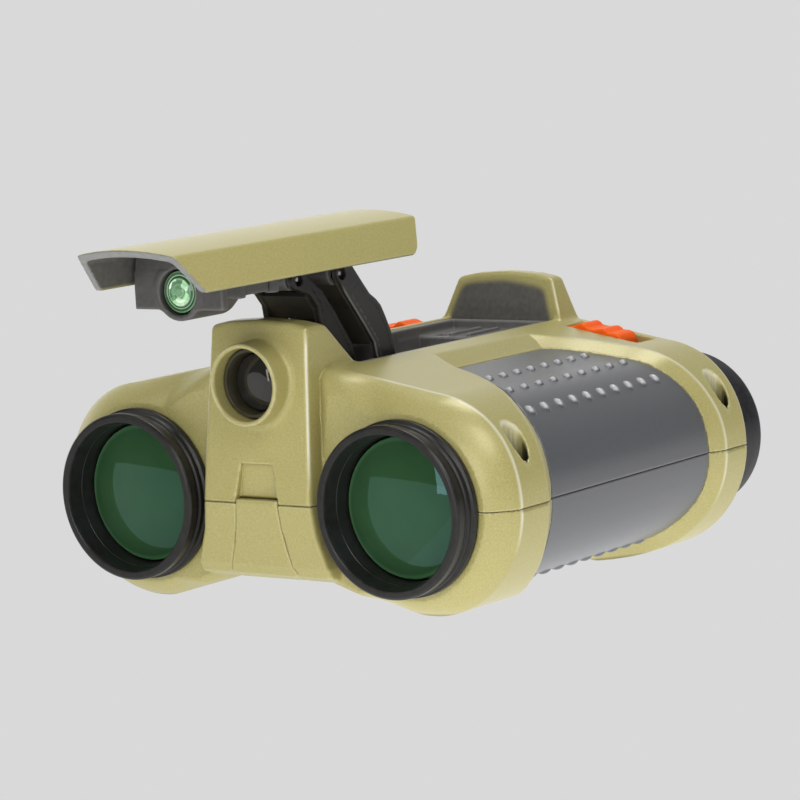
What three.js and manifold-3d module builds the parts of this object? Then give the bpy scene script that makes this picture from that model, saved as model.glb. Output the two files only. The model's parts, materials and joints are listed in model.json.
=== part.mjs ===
// Toy binocular night scope with a pop-up lamp lid, in millimetres.
// Design frame while building: y = 0 at the foot of the nose, z = 0 on the parting plane of the two shells,
// objectives towards -y, eyepieces towards +y. The finished meshes are moved to the part frame at the end.
import * as THREE from "three";
import { mergeVertices } from "three/addons/utils/BufferGeometryUtils.js";
import Module from "manifold-3d";

const wasm = await Module();
wasm.setup();
const { Manifold, Mesh } = wasm;

// ---------------------------------------------------------------- driving dimensions
const SHIFT_Y = -39.9325; // design frame to part frame
const SHIFT_Z = 23.4;
const GAP = 0.3; // clearance between neighbouring pieces

const BODY_Y0 = 11.2; // front crease of the shell
const BODY_Y1 = 100.7; // rear face of the shell
const XC = 36.6; // centre of the rounded shoulder
const SIDE_A = 23.0; // shoulder half width
const TOP_B = 23.3; // shoulder height above the parting plane
const LOW_B = 23.4; // shoulder depth below the parting plane
const TOP_N = 2.2; // roundness of the upper shoulder
const LOW_N = 1.9; // roundness of the lower shoulder
const RAIL_X = 14.1; // edge of the tray opening
const RAIL_Z = 27.9;
const SLOPE = 0.183; // fall of the top face per mm outwards
const KNEE_X = 41.0;
const FLOOR_Z = -16.4; // bottom of the valley between the barrels
const WALL = 2.4;

const BARREL_X = 34.6;
const RING_BASE_Y = 5.1;
const RING_RIM_Y = -1.3;
const BORE_R = 16.4;
const EYE_BORE_R = 14.3;

const NOSE_W0 = 14.3; // half width at the parting plane
const NOSE_W1 = 12.6; // half width at the top
const NOSE_TOP_Z = 36.9;
const NOSE_FRONT_TOP_Y = 4.3;
const NOSE_BACK_TOP_Y = 11.0;
const NOSE_FOOT_Y = 20.2;
const BEZEL_Z = 25.3;
const BEZEL_R = 8.75;
const BEZEL_HOLE_R = 7.6;

const HUMP_Y0 = 93.4;

const WELL_X = 55.4;
const WELL_Y = [15.8, 94.6];
const WELL_R = 2.75;
const SEAT_Z = 4.0; // floor of the screw well

const SLOT_X0 = 19.3;
const SLOT_X1 = 38.2;
const SLOT_Y0 = 90.2;
const SLOT_Y1 = 97.8;
const SLIDE_TRAVEL = 3.6;

const GRIP_DEPTH = 2.0; // how far the grips sit below the gold bands
const GRIP_T = 1.3;

const LINK_L = 31.8;
const LEAN = (126 * Math.PI) / 180; // link direction from +y with the lid up
const LID_FRONT_PIVOT = [9.5, 46.2]; // y, z with the lid up
const LID_REAR_PIVOT = [21.5, 46.2];
const PIN_R = 1.0;

const LID_Y0 = -37.1;
const LID_Y1 = 43.0;
const LID_Z0 = 48.0;
const LAMP_Z = 46.9;

// ---------------------------------------------------------------- helpers
function solid(geometry) {
  const g = geometry.index ? geometry.toNonIndexed() : geometry.clone();
  for (const key of Object.keys(g.attributes)) if (key !== "position") g.deleteAttribute(key);
  const merged = mergeVertices(g, 1e-4);
  const make = (tri) =>
    new Manifold(new Mesh({ numProp: 3, vertProperties: new Float32Array(merged.attributes.position.array), triVerts: tri }));
  const tri = new Uint32Array(merged.index.array);
  const first = make(tri);
  if (first.volume() > 0) return first;
  for (let i = 0; i < tri.length; i += 3) [tri[i + 1], tri[i + 2]] = [tri[i + 2], tri[i + 1]];
  return make(tri);
}
function fromTriangles(points, faces) {
  const g = new THREE.BufferGeometry();
  g.setAttribute("position", new THREE.BufferAttribute(new Float32Array(points.flat()), 3));
  g.setIndex(faces.flat());
  return solid(g);
}
// Joins rings of equal length; the caps are triangulated in the plane of the two axes given.
function loft(rings, u = 0, v = 2, fan = false) {
  const n = rings[0].length;
  const pts = rings.flat();
  const faces = [];
  for (let k = 0; k + 1 < rings.length; k++)
    for (let i = 0; i < n; i++) {
      const j = (i + 1) % n;
      const a = k * n + i, b = k * n + j, c = (k + 1) * n + j, d = (k + 1) * n + i;
      faces.push([a, b, c], [a, c, d]);
    }
  const cap = (base, flip) => {
    const flat = rings[base === 0 ? 0 : rings.length - 1].map((p) => new THREE.Vector2(p[u], p[v]));
    const way = Math.sign(THREE.ShapeUtils.area(flat));
    for (const [a, b, c] of THREE.ShapeUtils.triangulateShape(flat, [])) {
      const same = Math.sign(THREE.ShapeUtils.area([flat[a], flat[b], flat[c]])) === way;
      faces.push(same !== flip ? [base + a, base + b, base + c] : [base + a, base + c, base + b]);
    }
  };
  // star-shaped ends close on their middle point
  const close = (k, flip) => {
    const ring = rings[k], mid = [0, 1, 2].map((c) => ring.reduce((t, p) => t + p[c], 0) / n);
    const at = pts.push(mid) - 1;
    for (let i = 0; i < n; i++) {
      const a = k * n + i, b = k * n + ((i + 1) % n);
      faces.push(flip ? [at, b, a] : [at, a, b]);
    }
  };
  if (fan) {
    close(0, true);
    close(rings.length - 1, false);
  } else {
    cap(0, true);
    cap((rings.length - 1) * n, false);
  }
  return fromTriangles(pts, faces);
}
const prismY = (poly, y0, y1) => loft([poly.map(([x, z]) => [x, y0, z]), poly.map(([x, z]) => [x, y1, z])], 0, 2);
const prismX = (poly, x0, x1) => loft([poly.map(([y, z]) => [x0, y, z]), poly.map(([y, z]) => [x1, y, z])], 1, 2);
const prismZ = (poly, z0, z1) => loft([poly.map(([x, y]) => [x, y, z0]), poly.map(([x, y]) => [x, y, z1])], 0, 1);
function box(x0, x1, y0, y1, z0, z1) {
  return solid(new THREE.BoxGeometry(x1 - x0, y1 - y0, z1 - z0).translate((x0 + x1) / 2, (y0 + y1) / 2, (z0 + z1) / 2));
}
function cylY(r, y0, y1, x, z, n = 32, r2 = r) {
  return solid(new THREE.CylinderGeometry(r2, r, y1 - y0, n).translate(x, (y0 + y1) / 2, z));
}
function cylX(r, x0, x1, y, z, n = 16) {
  return solid(new THREE.CylinderGeometry(r, r, x1 - x0, n).rotateZ(Math.PI / 2).translate((x0 + x1) / 2, y, z));
}
function cylZ(r, z0, z1, x, y, n = 20) {
  return solid(new THREE.CylinderGeometry(r, r, z1 - z0, n).rotateX(Math.PI / 2).translate(x, y, (z0 + z1) / 2));
}
// Turned piece about an axis along y: profile of [radius, y], closed on itself or on the axis.
function turned(profile, x, z, n = 40) {
  const pts = profile.map(([r, y]) => new THREE.Vector2(r, y));
  const onAxis = profile[0][0] === 0 && profile[profile.length - 1][0] === 0;
  if (!onAxis) pts.push(pts[0].clone());
  return solid(new THREE.LatheGeometry(pts, n).translate(x, 0, z));
}
const join = (list) => list.reduce((a, b) => a.add(b));
const mirrorX = (m) => m.mirror([1, 0, 0]);

// ---------------------------------------------------------------- body section
function upperArc(off, count = 8) {
  const a = SIDE_A - off, b = TOP_B - off, out = [];
  const tEnd = Math.acos(Math.pow((KNEE_X - XC) / a, TOP_N / 2));
  for (let i = 0; i < count; i++) {
    const t = (tEnd * i) / (count - 1);
    out.push([XC + a * Math.pow(Math.cos(t), 2 / TOP_N), b * Math.pow(Math.sin(t), 2 / TOP_N)]);
  }
  return out;
}
function lowerArc(off, count = 7) {
  const a = SIDE_A - off, b = LOW_B - off, out = [];
  for (let i = 1; i <= count; i++) {
    const t = (Math.PI / 2) * (i / count);
    out.push([XC + a * Math.pow(Math.max(Math.cos(t), 0), 2 / LOW_N), -b * Math.pow(Math.sin(t), 2 / LOW_N)]);
  }
  return out;
}
function section(off) {
  const up = upperArc(off);
  const right = [...up, [RAIL_X, RAIL_Z - off - 0.02]];
  const low = [...lowerArc(off), [33.4, -LOW_B + off], [29.5, -22.3 + off], [8.6, FLOOR_Z + off]];
  const half = [...low.slice().reverse(), ...right];
  const left = half.slice().reverse().map(([x, z]) => [-x, z]);
  return [...half, ...left];
}

// Front cap of one barrel: rounds in from the body section to the seat of the objective ring.
function cheek() {
  const n = 32, rings = [];
  const reach = (phi) => {
    // distance from the barrel axis to the body section in the direction phi
    const dx = Math.cos(phi), dz = Math.sin(phi);
    const poly = section(0);
    let best = 60;
    for (let i = 0; i < poly.length; i++) {
      const [x1, z1] = poly[i], [x2, z2] = poly[(i + 1) % poly.length];
      const ex = x2 - x1, ez = z2 - z1;
      const det = dx * ez - dz * ex;
      if (Math.abs(det) < 1e-9) continue;
      const t = ((x1 - BARREL_X) * ez - (z1 - 0) * ex) / det;
      const s = ((x1 - BARREL_X) * dz - (z1 - 0) * dx) / det;
      if (t > 0 && s >= -1e-9 && s <= 1 + 1e-9) best = Math.min(best, t);
    }
    const toNose = dx < 0 ? (BARREL_X - 12.5) / -dx : 60;
    return Math.min(best, toNose);
  };
  // y, share of the reach on the outer side, share of the reach beside the nose
  const steps = [
    [BODY_Y0 + 0.8, 1.0, 1.0],
    [BODY_Y0, 1.0, 1.0],
    [9.2, 0.82, 0.98],
    [7.2, 0.5, 0.9],
    [5.4, 0.06, 0.62],
  ];
  for (const [y, fOut, fNose] of steps) {
    const ring = [];
    for (let i = 0; i < n; i++) {
      const phi = (2 * Math.PI * i) / n;
      const t = Math.min(Math.max((-Math.cos(phi) - 0.3) / 0.32, 0), 1);
      const f = fOut + (fNose - fOut) * t * t * (3 - 2 * t);
      const r = 19.2 + (reach(phi) - 19.2) * f;
      ring.push([BARREL_X + r * Math.cos(phi), y, r * Math.sin(phi)]);
    }
    rings.push(ring);
  }
  return loft(rings, 0, 2, true);
}
function rectRing(w, y0, y1, z) {
  return [[-w, y0, z], [w, y0, z], [w, y1, z], [-w, y1, z]];
}
function nose() {
  const up = loft(
    [
      rectRing(NOSE_W0, 0, NOSE_FOOT_Y, -0.5),
      rectRing(14.0, 0.75, NOSE_FOOT_Y, 6.5),
      rectRing(13.0, 3.2, NOSE_FOOT_Y, RAIL_Z),
      rectRing(NOSE_W1, NOSE_FRONT_TOP_Y, NOSE_BACK_TOP_Y, NOSE_TOP_Z),
      rectRing(8.2, NOSE_FRONT_TOP_Y + 0.2, NOSE_BACK_TOP_Y - 0.6, NOSE_TOP_Z + 0.9),
      rectRing(3.0, NOSE_FRONT_TOP_Y + 0.3, NOSE_BACK_TOP_Y - 0.9, NOSE_TOP_Z + 1.25),
    ],
    0,
    1,
  );
  const low = loft(
    [
      rectRing(NOSE_W0 - 0.4, 0.05, 14, 0.5),
      rectRing(14.6, 0.35, 14, -6),
      rectRing(17.2, 0.7, 14, -13.0),
      rectRing(17.2, 1.9, 14, -15.2),
      rectRing(17.0, 4.8, 14, FLOOR_Z - 0.1),
    ],
    0,
    1,
  );
  return up.add(low);
}
function hump() {
  return loft(
    [
      rectRing(16.4, HUMP_Y0, BODY_Y1, 24.0),
      rectRing(16.2, HUMP_Y0, BODY_Y1, RAIL_Z + 0.1),
      rectRing(12.9, 95.6, BODY_Y1 - 0.7, 36.8),
      rectRing(8.3, 95.8, BODY_Y1 - 0.9, 37.7),
      rectRing(3.0, 95.9, BODY_Y1 - 1.0, 38.1),
    ],
    0,
    1,
  );
}

// ---------------------------------------------------------------- grip stations
// Each station: x on the outer section, and front and rear edge at the gold crease and at the grip face.
const GRIP_TOP = [
  [19.4, 40.0, 75.0, 42.0, 71.0],
  [24.4, 36.6, 79.3, 40.5, 73.5],
  [29.0, 34.1, 82.1, 38.0, 77.6],
  [34.0, 32.6, 84.3, 36.3, 80.0],
  [39.0, 30.4, 85.6, 34.2, 81.6],
  [44.0, 27.1, 86.5, 31.0, 82.5],
  [48.0, 24.8, 86.9, 28.6, 83.2],
  [51.5, 23.1, 87.6, 27.0, 84.2],
  [54.5, 22.3, 88.4, 26.2, 85.3],
  [57.0, 21.6, 89.4, 25.5, 86.3],
  [58.8, 21.2, 90.6, 25.1, 87.0],
  [59.6, 21.0, 91.2, 24.9, 87.3],
];
// Below the parting plane the recess deepens towards the underside (last column) and runs out past the lowest line.
const GRIP_LOW = [
  [59.6, 21.0, 91.2, 24.9, 87.3, 2.0],
  [58.6, 21.3, 91.2, 25.2, 87.3, 2.05],
  [56.6, 22.5, 91.0, 26.3, 87.0, 2.2],
  [54.0, 24.0, 89.9, 27.8, 85.8, 2.4],
  [50.5, 25.8, 88.7, 29.6, 84.5, 2.65],
  [46.0, 29.2, 87.8, 33.0, 83.6, 2.9],
  [41.5, 33.2, 84.7, 37.0, 80.5, 3.1],
  [37.4, 37.0, 79.7, 40.8, 75.5, 3.2],
  [34.0, 40.6, 75.4, 44.4, 71.2, 3.2],
];
function zTop(x, off = 0) {
  if (x < KNEE_X) return RAIL_Z - off - SLOPE * (x - RAIL_X);
  const q = Math.max(1 - Math.pow((x - XC) / (SIDE_A - off), TOP_N), 0);
  return (TOP_B - off) * Math.pow(q, 1 / TOP_N);
}
function zLow(x) {
  const q = Math.max(1 - Math.pow(Math.max(x - XC, 0) / SIDE_A, LOW_N), 0);
  return -LOW_B * Math.pow(q, 1 / LOW_N);
}
function gripFrame(table, low) {
  const zf = low ? zLow : zTop;
  return table.map(([x, yfo, yro, yfi, yri, depth = GRIP_DEPTH]) => {
    const xx = Math.min(x, XC + SIDE_A - 1e-6);
    const z = x >= 59.6 ? 0 : zf(xx);
    // inward normal of the section
    let nx = -1, nz = 0;
    if (x < 59.6) {
      const e = 0.02;
      const dz = (zf(Math.min(xx + e, 59.5999)) - zf(xx - e)) / (Math.min(xx + e, 59.5999) - (xx - e));
      const l = Math.hypot(dz, 1);
      nx = low ? -(-dz) / l : dz / l;
      nz = low ? 1 / l : -1 / l;
      if (low) nx = -dz / l;
    }
    return { x, z, nx, nz, yfo, yro, yfi, yri, depth };
  });
}
// Solid that follows the section: per station a polygon of [y, depth below the gold face].
function strip(frames, polyOf) {
  const rings = frames.map((f, i) => polyOf(f, i).map(([y, d]) => [f.x + f.nx * d, y, f.z + f.nz * d]));
  const n = rings[0].length, faces = [];
  for (let k = 0; k + 1 < rings.length; k++)
    for (let i = 0; i < n; i++) {
      const j = (i + 1) % n;
      faces.push([k * n + i, k * n + j, (k + 1) * n + j], [k * n + i, (k + 1) * n + j, (k + 1) * n + i]);
    }
  for (let i = 1; i + 1 < n; i++) {
    faces.push([0, i + 1, i]);
    const b = (rings.length - 1) * n;
    faces.push([b, b + i, b + i + 1]);
  }
  return fromTriangles(rings.flat(), faces);
}
const TOPF = gripFrame(GRIP_TOP, false);
const LOWF = gripFrame(GRIP_LOW, true);
// extends the last station a little across the parting plane so that cuts run through
const past = (frames, first, dz) => {
  const f = frames[first ? 0 : frames.length - 1];
  const g = { ...f, z: f.z + dz };
  return first ? [g, ...frames] : [...frames, g];
};
const depthAt = (f, low) => {
  if (!low && f.x < 20) return [0.05, 0.1];
  return [f.depth, f.depth + GRIP_T + 0.3];
};
function recess(low) {
  const frames = low ? past(LOWF, true, 1.0) : past(TOPF, false, -1.0);
  return strip(frames, (f) => {
    const [d1, d2] = depthAt(f, low);
    const up = 1.5, k = up / Math.max(d1, 0.6);
    return [
      [f.yfo - (f.yfi - f.yfo) * k * 0.5, -up],
      [f.yro + (f.yro - f.yri) * k * 0.5, -up],
      [f.yri, d1],
      [f.yri, d2],
      [f.yfi, d2],
      [f.yfi, d1],
    ];
  });
}
function pocketWall(low) {
  const frames = low ? past(LOWF, true, 1.0) : past(TOPF, false, -1.0);
  return strip(frames, (f) => [
    [f.yfo - 1.5, -0.5],
    [f.yro + 1.5, -0.5],
    [f.yro + 1.5, f.depth + 3.2],
    [f.yfo - 1.5, f.depth + 3.2],
  ]);
}
function grip(low) {
  const frames = low ? LOWF : TOPF.slice(1);
  const body = strip(frames, (f) => [
    [f.yfi + GAP, f.depth],
    [f.yri - GAP, f.depth],
    [f.yri - GAP, f.depth + GRIP_T],
    [f.yfi + GAP, f.depth + GRIP_T],
  ]);
  const keep = low ? box(34.4, 80, 0, 120, -40, -0.15) : box(24.9, 80, 0, 120, 0.15, 40);
  return body.intersect(keep);
}

// ---------------------------------------------------------------- shells
const outer = (() => {
  const right = cheek();
  let b = prismY(section(0), BODY_Y0, BODY_Y1);
  b = join([b, right, mirrorX(right), nose(), hump(), cylY(BEZEL_R, -2.2, 8, 0, BEZEL_Z, 36)]);
  return b;
})();

const topWall = pocketWall(false), lowWall = pocketWall(true);
let cavity = prismY(section(WALL), BODY_Y0 + 0.3, BODY_Y1 - WALL);
cavity = cavity.subtract(join([topWall, mirrorX(topWall), lowWall, mirrorX(lowWall)]));
// hollow of the nose above the parting plane and of the battery bay below it
cavity = join([
  cavity,
  box(-11.8, 11.8, 4.6, 22, -0.6, 27.3),
  box(-11.9, 11.9, 2.7, 22, -14.0, 0.6),
]);

const doorPoly = (c) => [
  [-8.6 - c, -30], [8.6 + c, -30], [8.6 + c, -14.4], [8.2 + c, -13.5], [7.05 + c, -9.9], [5.95 + c, -4.9], [5.4 + c, 0.0], [5.4 + c, 0.9 + c],
  [-5.4 - c, 0.9 + c], [-5.4 - c, 0.0], [-5.95 - c, -4.9], [-7.05 - c, -9.9], [-8.2 - c, -13.5], [-8.6 - c, -14.4],
];
const HINGE_Y = 32.6; // battery door hinge
const HINGE_Z = FLOOR_Z + 1.1;
const HINGE_R = 1.1;

const wells = [];
const bossesUp = [], bossesLow = [];
for (const y of WELL_Y) {
  const b1 = cylZ(4.15, -0.6, 16, WELL_X, y, 16), b2 = cylZ(3.95, -22, 0.6, WELL_X, y, 16);
  bossesUp.push(b1, mirrorX(b1));
  bossesLow.push(b2, mirrorX(b2));
  const hole = cylZ(WELL_R, SEAT_Z, 40, WELL_X, y, 16).add(cylZ(1.45, -1, SEAT_Z + 1, WELL_X, y, 12));
  wells.push(hole, mirrorX(hole));
}
const bores = [];
for (const s of [1, -1]) {
  bores.push(cylY(BORE_R, 0, BODY_Y0 + 3, s * BARREL_X, 0, 32));
  bores.push(cylY(EYE_BORE_R, 90, 110, s * BARREL_X, 0, 30));
}
const slot = box(SLOT_X0, SLOT_X1, SLOT_Y0, SLOT_Y1, 16, 40);
const rTop = recess(false), rLow = recess(true);

const upperHalf = box(-90, 90, -20, 130, 0.15, 60);
const lowerHalf = box(-90, 90, -20, 130, -60, -0.15);

const upperShell = (() => {
  let m = outer.subtract(cavity);
  m = m.add(join(bossesUp).intersect(outer));
  m = m.subtract(join([...wells, ...bores, slot, mirrorX(slot), rTop, mirrorX(rTop)]));
  m = m.subtract(cylY(BEZEL_HOLE_R, -5, 9.8, 0, BEZEL_Z, 32));
  m = m.subtract(box(-RAIL_X, RAIL_X, NOSE_FOOT_Y, HUMP_Y0, 12, 45));
  // finger notch above the door tab, and room for the tab
  m = m.subtract(prismY([[-5.6, 0.5], [5.6, 0.5], [4.1, 8.3], [-4.1, 8.3]], -4, 1.7));
  m = m.subtract(prismY(doorPoly(GAP), -4, 3.0));
  return m.intersect(upperHalf);
})();

const doorSkin = outer.intersect(prismY(doorPoly(0), -4, HINGE_Y));
const batteryDoor = (() => {
  const inside = box(-20, 20, 2.3, 60, -14.5, 10);
  let m = doorSkin.subtract(inside).intersect(box(-20, 20, -4, HINGE_Y, -30, 0.9));
  // hinge knuckle along the rear edge
  m = m.add(cylX(HINGE_R, -8.6, 8.6, HINGE_Y, HINGE_Z, 16));
  return m;
})();

const lowerShell = (() => {
  let m = outer.subtract(cavity);
  const stud = join(bossesLow).intersect(outer);
  m = m.add(stud);
  // side walls of the battery bay
  m = m.add(box(9.95, 11.4, 4.5, 33, -15.6, -1.0).add(box(-11.4, -9.95, 4.5, 33, -15.6, -1.0)).intersect(outer));
  for (const y of WELL_Y)
    for (const s of [1, -1]) m = m.subtract(cylZ(1.4, -8.6, 2, s * WELL_X, y, 12));
  m = m.subtract(join([...bores, rLow, mirrorX(rLow)]));
  m = m.subtract(prismY(doorPoly(GAP), -4, HINGE_Y + HINGE_R + GAP).intersect(box(-30, 30, -5, 60, -40, 1.2)).subtract(box(-20, 20, 2.7, 60, -14.0, 3)));
  m = m.subtract(cylX(HINGE_R + GAP, -8.9, 8.9, HINGE_Y, HINGE_Z, 16));
  return m.intersect(lowerHalf);
})();

// ---------------------------------------------------------------- tray under the lid
const base = (p) => [p[0] - LINK_L * Math.cos(LEAN), p[1] - LINK_L * Math.sin(LEAN)];
const TRAY_FRONT_PIVOT = base(LID_FRONT_PIVOT);
const TRAY_REAR_PIVOT = base(LID_REAR_PIVOT);
const tray = (() => {
  const X = RAIL_X - GAP;
  let m = box(-X, X, 17.0, HUMP_Y0 - GAP, 13.0, 27.5);
  m = m.subtract(box(-12.2, 12.2, 18.6, 66, 14.5, 40));
  m = m.subtract(box(-12.2, 12.2, 65, 78, 20.8, 40));
  m = m.subtract(box(-12.2, 12.2, 77, 91.6, 25.3, 40));
  m = m.subtract(box(-9.6, -6.4, 80, 83.4, 22.5, 40)); // latch pocket
  m = m.subtract(box(3.0, 8.6, 84.2, 88.0, 22.5, 40));
  m = m.subtract(box(-12.2, 12.2, 67.5, 90, 10, 19.2).add(box(-12.2, 12.2, 79, 91, 10, 23.4))); // hollow under the steps
  m = m.subtract(box(-40, 40, 10, NOSE_FOOT_Y + 0.3, RAIL_Z - WALL - GAP, 40));
  for (const p of [TRAY_FRONT_PIVOT, TRAY_REAR_PIVOT]) m = m.subtract(cylX(PIN_R + 0.3, -20, 20, p[0], p[1], 12));
  return m;
})();

// ---------------------------------------------------------------- links
// Arm outlines in link coordinates: s from the lower pivot to the upper one, n towards the front with the lid up.
const arc = (cs, cn, r, a0, a1, k) =>
  Array.from({ length: k + 1 }, (_, i) => {
    const a = ((a0 + ((a1 - a0) * i) / k) * Math.PI) / 180;
    return [cs + r * Math.cos(a), cn + r * Math.sin(a)];
  });
const REAR_ARM = [
  ...arc(0, 0, 2.6, 90, 270, 8),
  [6.0, -2.9], [10.5, -4.8], [14.7, -5.5], [17.5, -5.8], [19.6, -5.4], [22.0, -4.5], [26.4, -4.1],
  ...arc(LINK_L - 0.4, -1.1, 2.9, -60, 75, 6),
  [27.5, 1.8], [18.0, 1.3], [13.0, 1.2], [10.2, 2.4],
];
const FRONT_ARM = [
  ...arc(0, 0, 2.6, 90, 270, 8),
  [5.0, -3.2], [9.0, -4.8], [19.0, -4.9], [25.0, -4.4], [28.5, -3.2],
  ...arc(LINK_L, 0, 2.4, -80, 110, 8),
  [28.6, 0.6], [26.6, -0.7], [23.2, -1.0], [20.5, 0.3], [17.0, 1.0], [10.0, 1.9],
];
const U = [Math.cos(LEAN), Math.sin(LEAN)], N = [-Math.sin(LEAN), Math.cos(LEAN)];
const place = (poly, p) => poly.map(([s, n]) => [p[0] + s * U[0] + n * N[0], p[1] + s * U[1] + n * N[1]]);
function link(arm, p, x0, x1, web, hole) {
  const side = prismX(place(arm, p), x0, x1);
  let m = join([side, mirrorX(side), prismX(place(web, p), -x0 - 0.4, x0 + 0.4)]);
  const top = [p[0] + LINK_L * U[0], p[1] + LINK_L * U[1]];
  m = m.subtract(cylX(hole, -30, 30, p[0], p[1], 12)).subtract(cylX(hole, -30, 30, top[0], top[1], 12));
  return m;
}
const frontLink = link(FRONT_ARM, TRAY_FRONT_PIVOT, 6.0, 7.6, [[19.5, -2.4], [26.0, -2.4], [26.0, -0.9], [23.0, -1.05], [19.5, -0.95]], PIN_R + 0.3);
const rearLink = link(REAR_ARM, TRAY_REAR_PIVOT, 8.2, 9.8, [[8.6, -3.7], [10.5, -4.55], [14.7, -5.25], [17.5, -5.55], [19.6, -5.15], [22.0, -4.25], [26.0, -3.85], [26.0, -2.6], [22.0, -3.0], [19.4, -3.9], [17.5, -4.25], [14.7, -3.95], [10.5, -3.25], [8.6, -2.5]], PIN_R + 0.3);

// ---------------------------------------------------------------- lid
const lidCover = (() => {
  const out = [[14.6, LID_Z0], [12.5, 56.0], [8.2, 56.85], [0, 57.3], [-8.2, 56.85], [-12.5, 56.0], [-14.6, LID_Z0]];
  const inn = [[13.2, LID_Z0 - 1], [11.2, 54.6], [7.4, 55.3], [0, 55.7], [-7.4, 55.3], [-11.2, 54.6], [-13.2, LID_Z0 - 1]];
  let m = prismY(out, LID_Y0 - 6, LID_Y1 + 4);
  const lean = (d) => prismX([[LID_Y1 - 0.6 - d, 46], [LID_Y1 + 3.24 - d, 58], [80, 58], [80, 46]], -40, 40); // rear face
  m = m.subtract(lean(0)).subtract(prismY(inn, LID_Y0 - 20, LID_Y1 + 4).subtract(lean(1.7)));
  m = m.subtract(prismX([[-70, 40], [-21.9, 40], [-42.8, 62], [-70, 62]], -40, 40)); // raked front
  m = m.subtract(prismX([[LID_Y1 - 2.2, LID_Z0 - 0.4], [LID_Y1 + 2, LID_Z0 - 0.4], [LID_Y1 + 2, LID_Z0 + 2.75]], -40, 40));
  return m;
})();
const lugPoly = (p, r) => [[p[0] - r, 50.4], ...arc(p[0], p[1], r, 180, 360, 10), [p[0] + r, 50.4]];
const lidFrame = (() => {
  let m = box(-11.8, 11.8, -20.6, 40.9, 49.7, 51.1);
  m = m.add(prismY([[-11.5, 43.3], [11.5, 43.3], [11.5, 48.6], [10.7, 53.9], [-10.7, 53.9], [-11.5, 48.6]], -21.0, -19.2));
  m = m.add(cylY(5.9, -21.0, -8.5, 0, LAMP_Z, 24));
  m = m.add(cylY(5.9, -8.6, -2.5, 0, LAMP_Z, 24, 3.0).intersect(box(-9, 9, -30, 9, 40, 51)));
  m = m.add(box(-10.6, 10.6, -20.6, -4.5, 45.4, 50.2).subtract(box(-9.2, 9.2, -19.0, -3, 40, 49.6)));
  m = m.add(prismX(lugPoly(LID_FRONT_PIVOT, 2.4), -5.6, 5.6));
  m = m.add(prismX(lugPoly(LID_REAR_PIVOT, 2.6), -7.8, 7.8));
  for (const s of [1, -1]) for (const y of [-13.7, -2.7]) m = m.add(cylZ(1.5, 45.0, 50.4, s * 9.8, y, 10));
  m = m.subtract(cylY(4.7, -30, -10.0, 0, LAMP_Z, 20)).subtract(cylY(1.9, -12, -7.0, 0, LAMP_Z, 14));
  for (const p of [LID_FRONT_PIVOT, LID_REAR_PIVOT]) m = m.subtract(cylX(PIN_R + 0.3, -20, 20, p[0], p[1], 12));
  return m;
})();
const reflector = turned(
  [[1.8, -10.4], [2.6, -10.4], [4.4, -13.5], [4.4, -18.6], [4.1, -18.6], [3.6, -15.6], [2.7, -13.0], [1.8, -11.6]],
  0, LAMP_Z, 20,
);
const lampLens = turned([[0, -20.6], [2.4, -20.5], [4.4, -20.0], [4.4, -18.9], [2.4, -18.95], [0, -19.0]], 0, LAMP_Z, 20);
const led = turned([[0, -15.6], [0.75, -15.3], [1.25, -14.6], [1.45, -13.6], [1.45, -8.0], [0, -8.0]], 0, LAMP_Z, 16);

const pin = (p, half) => cylX(PIN_R, -half, half, p[0], p[1], 12);

// ---------------------------------------------------------------- optics
function objectiveRing(x) {
  return turned(
    [
      [15.2, 10.0], [16.1, 10.0], [16.1, RING_BASE_Y], [18.5, RING_BASE_Y], [18.5, 3.8], [17.5, 3.3], [17.5, 1.2], [18.0, 0.7],
      [18.0, -0.9], [17.6, RING_RIM_Y], [16.0, RING_RIM_Y], [15.2, 6.2],
    ],
    x, 0, 32,
  );
}
const objectiveLens = (x) =>
  turned([[0, 4.0], [6, 4.25], [11, 4.9], [14.9, 5.8], [14.9, 7.0], [0, 7.0]], x, 0, 28);
const barrelTube = (x) =>
  turned([[14.8, 10.4], [16.1, 10.4], [16.1, 97.9], [12.4, 97.9], [12.4, 96.6], [14.8, 96.6]], x, 0, 28);
const eyecup = (x) =>
  turned(
    [
      [12.6, 98.3], [14.0, 98.3], [14.0, 101.0], [16.6, 101.0], [16.8, 109.0], [18.0, 115.6],
      [18.2, 117.4], [17.4, 118.2], [16.5, 117.6], [13.6, 107.0], [12.6, 106.4],
    ],
    x, 0, 30,
  );
const eyepieceLens = (x) =>
  turned([[0, 101.2], [7, 101.6], [12.3, 102.6], [12.3, 104.2], [7, 105.3], [0, 105.8]], x, 0, 24);
const noseTube = turned(
  [[6.0, 9.4], [7.3, 9.4], [7.3, 0.9], [6.6, 0.9], [6.4, 2.0], [6.4, 5.0], [6.0, 5.2]], 0, BEZEL_Z, 24,
);
const noseLens = turned([[0, 2.5], [3, 2.7], [6.1, 3.6], [6.1, 4.7], [0, 4.7]], 0, BEZEL_Z, 24);

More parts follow.
